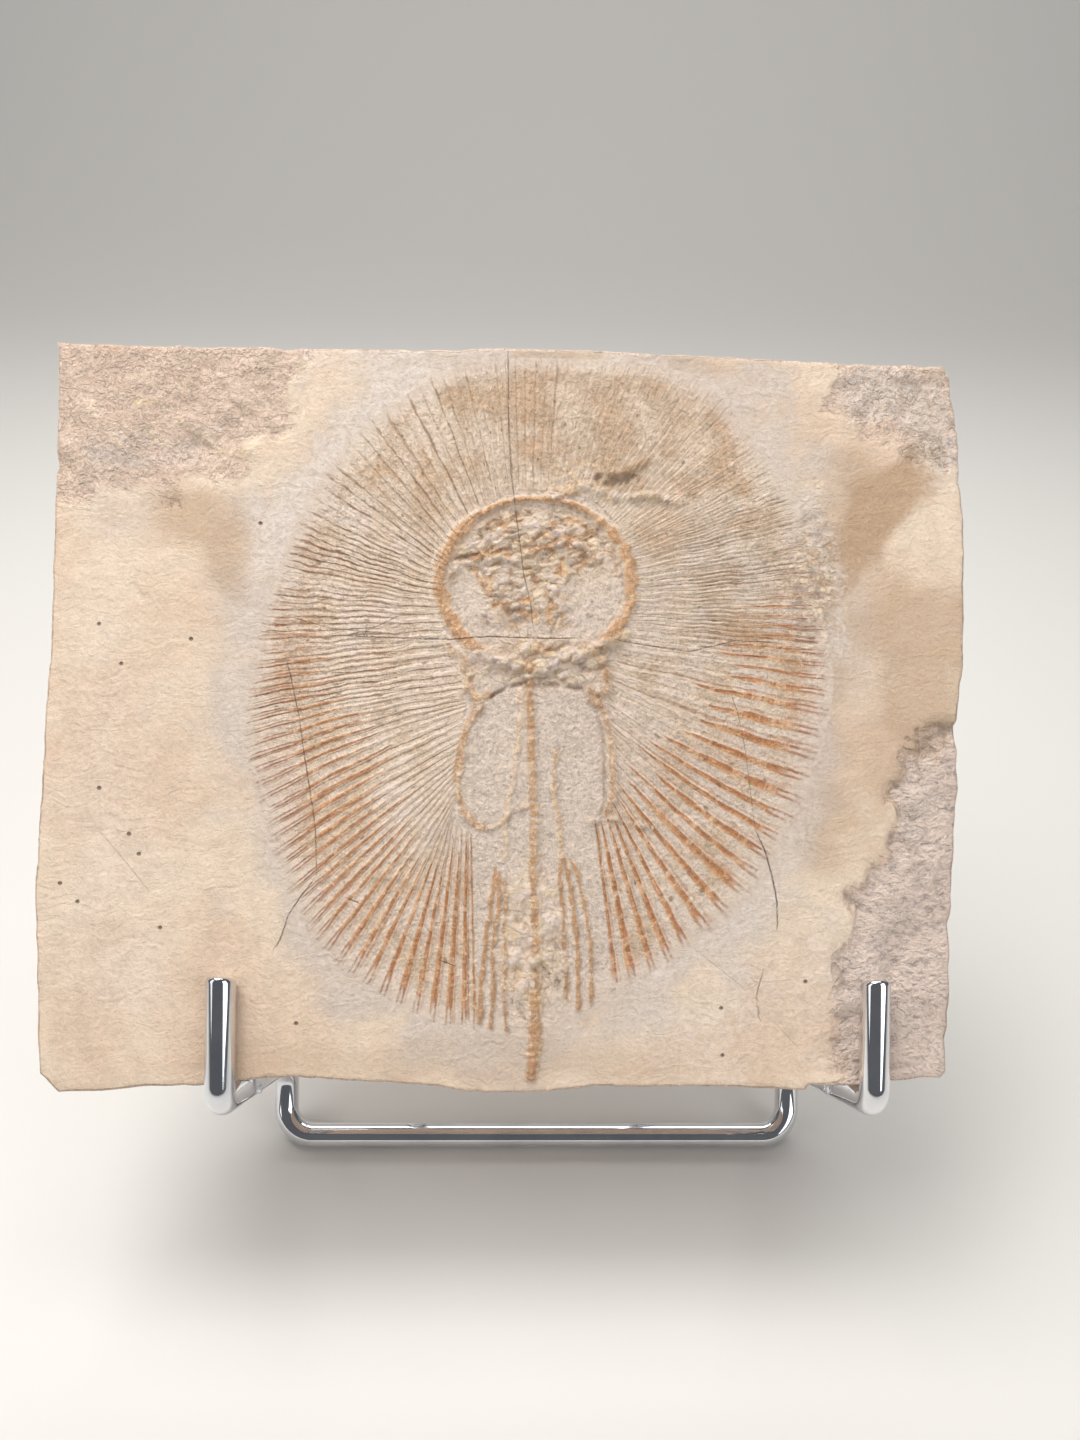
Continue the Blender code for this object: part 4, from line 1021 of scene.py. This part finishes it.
    # bones of the body, and the broken ones lying round them
    bent = vectorCalc("MULTIPLY", place, (0.6, 0.1, 1.0))
    bent = vectorCalc("ADD", bent, joined(x=centred(crumb, 2.2), z=centred(medium, 3.0)))
    cells = {"Vector": bent, "Scale": 0.7, "Randomness": 1.0}
    red, green, blue = wire("SeparateXYZ", {0: wire("TexVoronoi", cells)["Color"]})
    seam = wire("TexVoronoi", cells, feature="DISTANCE_TO_EDGE")["Distance"]
    seam = flip(ease(plus(seam, centred(fine, 0.3)), 0.0, 0.16))
    amount = ease(plus(crumb, centred(boneTan, -0.25)), 0.36, 0.6)
    tint = mix(amount, limestone["bone"], limestone["yellowBone"])
    tint = paint(tint, times(ease(crumb, 0.5, 0.64), 0.45), "deepOrange")
    tint = paint(tint, times(ease(fine, 0.5, 0.62), 0.3), "ivory")
    mottle = plus(centred(crumb, 0.9), times(rubble, centred(red, 1.1)))
    amount = plus(boneTan, plus(centred(fine, 1.4), mottle))
    colour = mix(times(ease(amount, 0.15, 0.95), 0.95), colour, tint)
    mottle = plus(centred(crumb, 0.9), times(rubble, centred(green, 1.1)))
    amount = plus(boneCreamAndHighlight, plus(centred(fine, 1.6), mottle))
    pale = ease(plus(blue, centred(fine, 0.8)), 0.35, 0.65)
    pale = mix(pale, limestone["cream"], limestone["ivory"])
    colour = mix(times(ease(amount, 0.25, 0.9), 0.9), colour, pale)
    amount = times(boneDarkAndShade, ease(plus(fine, centred(speck, 0.4)), 0.36, 0.56))
    # the seams between chips are darkened as painted shade in the gaps
    amount = plus(amount, times(rubble, times(seam, 0.26)))
    colour = paint(colour, times(atMost(amount), 0.8), "shade")

    # hairlines, pits, grain
    gap = calc("ABSOLUTE", plus(crackSide, centred(fine, 2.2)))
    crack = times(times(flip(ease(gap, 0.2, 1.0)), crackNear), crackDark)
    crack = times(crack, ease(crumb, 0.3, 0.55))
    colour = paint(colour, times(crack, 0.9), "crack")
    pits = None
    for u, v in stoneBlock["pits"]:
        distance = wire("VectorMath", {0: place, 1: (u, 0.1, v)}, operation="DISTANCE")["Value"]
        pit = flip(ease(distance, 0.15, 0.42))
        pits = pit if pits is None else larger(pits, pit)
    colour = paint(colour, times(pits, 0.8), "crack")
    slant = wire("Mapping", {"Vector": place, "Rotation": (0, 0.9, 0), "Scale": (0.75, 0.75, 1.15)})[0]
    pebbles = cloud(slant, 0.7, 4, 0.6, 0.4)
    grain = plus(centred(fine, 0.9), plus(centred(speck, 0.8), centred(tooling, 0.22)))
    grain = times(grain, timesPlus(larger(inside, times(rough, 0.7)), 1.1, 0.34))
    brightness = timesPlus(inside, 0.2, timesPlus(halo, -0.045, timesPlus(rubble, 0.2, 1.0)))
    # the pebbly step is lighter on the pebble crests and darker in the hollows: painted highlight and shade
    # following the pebble relief
    brightness = plus(brightness, times(pebbly, plus(centred(pebbles, 1.7), 0.06)))
    brightness = plus(brightness, plus(grain, plus(centred(medium, 0.36), centred(crumb, 0.2))))
    colour = wire("VectorMath", {0: colour, "Scale": brightness}, operation="SCALE")[0]
    connect(vectorCalc("MINIMUM", colour, limestone["brightest"]), shader, "Base Color")
    shader.inputs["Roughness"].default_value = limestone["roughness"]
    shader.inputs["Specular IOR Level"].default_value = limestone["specular"]

    # surface relief in millimetres
    bones = atMost(plus(boneTan, plus(boneCreamAndHighlight, boneDarkAndShade)))
    coarse = larger(bones, rough)
    relief = plus(times(grit, 0.03), times(minus(speck, 0.5), timesPlus(coarse, 0.14, 0.08)))
    for value, height in (
        (minus(fine, 0.5), timesPlus(larger(coarse, times(inside, 0.9)), 0.4, 0.18)),
        (minus(crumb, 0.5), timesPlus(rough, 0.55, timesPlus(inside, 0.55, 0.22))),
        (centred(pebbles, 1.7), pebbly),
        (times(seam, rubble), -0.2),
        (minus(terrace, 5.5), times(flaky, 0.26)),
        (tooling, times(flip(inside), 0.2)),
        (times(ribs, plus(cream, 0.3)), times(inRays, 0.16)),
        (groove, times(inRays, -0.14)),
        (fibre, times(inRays, 0.3)),
        (crack, -0.2),
        (pits, -0.4),
    ):
        relief = timesPlus(value, height, relief)
    addBump(shader, relief, mm, 1.0)
    return finish


slab = buildSlab()
slab.data.materials.append(limestoneMaterial())
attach(slab, "root")
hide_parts("fossil_slab")
print("slab finished")

# the easel, from the same origin and in the same millimetres
easel = {
    "radius": 2.41, "footHeight": 2.415, "sides": 32, "bendSteps": 12,
    "cutRounding": 0.9, "cutSteps": 4, "sharpAngle": 40,
    "halfSpacing": 52.8, "hookTip": 18.0, "hookDepth": 3.0, "hookBend": 4.5, "hookBottom": -3.3,
    "armDrop": 10.5, "armReach": 51.0, "armBend": 5.0, "footBend": 6.0, "footDrop": 27.7,
    "restTop": 94.0, "restBend": 14.0, "restDepth": 15.8, "restSink": 1.6,
    "legHalfSpacing": 30.0, "legBend": 7.0, "legStub": 11.0, "legReach": 68.0,
    "weldRadius": 0.55, "weldClearance": 0.05, "weldSegments": (48, 10),
    "weldRipple": 0.05, "weldRipples": 14, "weldFlatness": 0.03,
}


def push(way):
    bpy.ops.mesh.extrude_region_move(TRANSFORM_OT_translate={"value": way * mm})


def bentRod(name, points, bends, rounded):
    # half the rod, from its middle to one end: a ring is pushed along and spun round each bend
    radius, cut = easel["radius"], easel["cutRounding"]
    bpy.ops.object.select_all(action="DESELECT")
    bpy.ops.mesh.primitive_circle_add(
        vertices=easel["sides"], radius=radius * mm, location=points[0] * mm, rotation=(0, math.pi / 2, 0))
    rod = bpy.context.object
    rod.name = name
    bpy.ops.object.transform_apply(location=True, rotation=True, scale=True)
    bpy.ops.object.mode_set(mode="EDIT")
    bpy.ops.mesh.select_all(action="SELECT")
    here = points[0]
    for before, corner, after, bend in zip(points, points[1:], points[2:], bends):
        inwards, onwards = (before - corner).normalized(), (after - corner).normalized()
        half = inwards.angle(onwards) / 2
        centre = corner + (inwards + onwards).normalized() * bend / math.sin(half)
        start = corner + inwards * bend / math.tan(half)
        push(start - here)
        # known fault: spin limits each part of its axis to 1, so this unscaled one turns a little askew
        axis = (start - centre).cross(inwards)
        bpy.ops.mesh.spin(steps=easel["bendSteps"], angle=math.pi - 2 * half, center=centre * mm, axis=axis)
        here = corner + onwards * bend / math.tan(half)
    heading = (points[-1] - here).normalized()
    end = points[-1] - heading * cut if rounded else points[-1]
    push(end - here)
    if rounded:
        size, risen = radius, 0.0
        for step in range(1, easel["cutSteps"] + 1):
            turn = math.radians(90 * step / easel["cutSteps"])
            rise, nextSize = cut * math.sin(turn), radius - cut * (1 - math.cos(turn))
            push(heading * (rise - risen))
            factor = nextSize / size
            bpy.ops.transform.resize(value=(factor,) * 3, center_override=(end + heading * rise) * mm)
            size, risen = nextSize, rise
    bpy.ops.mesh.edge_face_add()
    bpy.ops.object.mode_set(mode="OBJECT")
    # the other half is a mirror image across the middle
    bpy.context.scene.cursor.location = Vector((slabStand["origin"][0], 0, 0)) * mm
    bpy.ops.object.origin_set(type="ORIGIN_CURSOR")
    mirror = rod.modifiers.new("otherHalf", "MIRROR")
    mirror.merge_threshold = mirrorWithin
    bpy.ops.object.modifier_apply(modifier=mirror.name)
    bpy.ops.object.transform_apply(location=True, rotation=True, scale=True)
    closeUp()
    bpy.ops.object.shade_smooth_by_angle(angle=math.radians(easel["sharpAngle"]))
    return rod


def weldBead(name, joint, heading, across):
    # a thin bead where one rod's end meets the side of another
    radius = easel["radius"]
    bpy.ops.object.select_all(action="DESELECT")
    around, through = easel["weldSegments"]
    bpy.ops.mesh.primitive_torus_add(
        location=(0, 0, 0), major_radius=(radius + easel["weldClearance"]) * mm,
        minor_radius=easel["weldRadius"] * mm, major_segments=around, minor_segments=through)
    bead = bpy.context.object
    bead.name = name
    side = heading.cross(across)
    for point in bead.data.vertices:
        x, y, z = point.co / mm
        turn = math.atan2(y, x)
        saddle = radius * math.sqrt(math.cos(turn) ** 2 + easel["weldFlatness"])
        ripple = 1 + easel["weldRipple"] * math.sin(turn * easel["weldRipples"])
        point.co = (joint + (across * x + side * y) * ripple + heading * (z * ripple + saddle)) * mm
    closeUp()
    bpy.ops.object.shade_smooth()
    return bead


chrome = {
    "bright": tone(232, 233, 236), "dull": tone(214, 216, 221), "roughness": 0.05,
    "smudgeSize": 90.0, "smudgeHaze": 0.09, "scratchSize": 1400.0, "scratchHaze": 0.05,
    "bumpDistance": 0.00003, "bumpStrength": 0.6,
}


def chromeMaterial():
    finish, shader = newMaterial("polishedChrome")
    place = wire("TexCoord", {})["Object"]
    smudge = cloud(place, chrome["smudgeSize"], 4, 0.6)
    scratch = cloud(place, chrome["scratchSize"], 3, 0.7)
    connect(mix(ease(smudge, 0.35, 0.7), chrome["bright"], chrome["dull"]), shader, "Base Color")
    shader.inputs["Metallic"].default_value = 1.0
    haze = timesPlus(ease(smudge, 0.45, 0.8), chrome["smudgeHaze"], chrome["roughness"])
    haze = timesPlus(ease(scratch, 0.6, 0.8), chrome["scratchHaze"], haze)
    connect(haze, shader, "Roughness")
    relief = timesPlus(smudge, 0.5, times(scratch, 0.03))
    addBump(shader, relief, chrome["bumpDistance"], chrome["bumpStrength"])
    return finish


def buildEasel():
    half, aside, radius = easel["halfSpacing"], easel["legHalfSpacing"], easel["radius"]
    depth, reach, hook, top = easel["restDepth"], easel["armReach"], easel["hookDepth"], easel["restTop"]
    drop = math.tan(math.radians(easel["armDrop"]))
    armTop = easel["hookBottom"] - drop * (depth + hook)
    frontFoot = onSlab(0, -easel["footDrop"], -reach)
    lift = Vector((0, 0, easel["footHeight"] - frontFoot.z))
    carrier = bentRod("carrierRod", [
        frontFoot + lift, onSlab(half, -easel["footDrop"], -reach) + lift,
        onSlab(half, easel["hookBottom"] - drop * (reach + hook), -reach),
        onSlab(half, easel["hookBottom"], hook), onSlab(half, easel["hookTip"], hook),
    ], [easel["footBend"], easel["armBend"], easel["hookBend"]], True)
    rest = bentRod("backRest", [
        onSlab(0, top, -depth), onSlab(half, top, -depth),
        onSlab(half, armTop + radius - easel["restSink"], -depth),
    ], [easel["restBend"]], False)
    rearFoot = Vector((frontFoot.x, frontFoot.y + easel["legReach"], easel["footHeight"]))
    leg = bentRod("rearLeg", [
        rearFoot, rearFoot + Vector((aside, 0, 0)), onSlab(aside, top, -depth - radius - easel["legStub"]),
        onSlab(aside, top, -depth - radius + easel["restSink"]),
    ], [easel["footBend"], easel["legBend"]], False)
    armRun = (outOfFace + upFace * drop).normalized()
    heading = (upFace - armRun * upFace.dot(armRun)).normalized()
    beads = []
    for side, label in ((-1, "Left"), (1, "Right")):
        beads.append(weldBead("restWeld" + label, onSlab(half * side, armTop, -depth), heading, armRun))
        joint = onSlab(aside * side, top, -depth)
        beads.append(weldBead("legWeld" + label, joint, -outOfFace, Vector((1, 0, 0))))
    coating = chromeMaterial()
    for piece in [carrier, rest, leg] + beads:
        piece.data.materials.clear()
        piece.data.materials.append(coating)
        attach(piece, "root")
    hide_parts("carrier_rod")
    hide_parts("back_rest")
    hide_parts("rear_leg")


buildEasel()
print("easel finished")
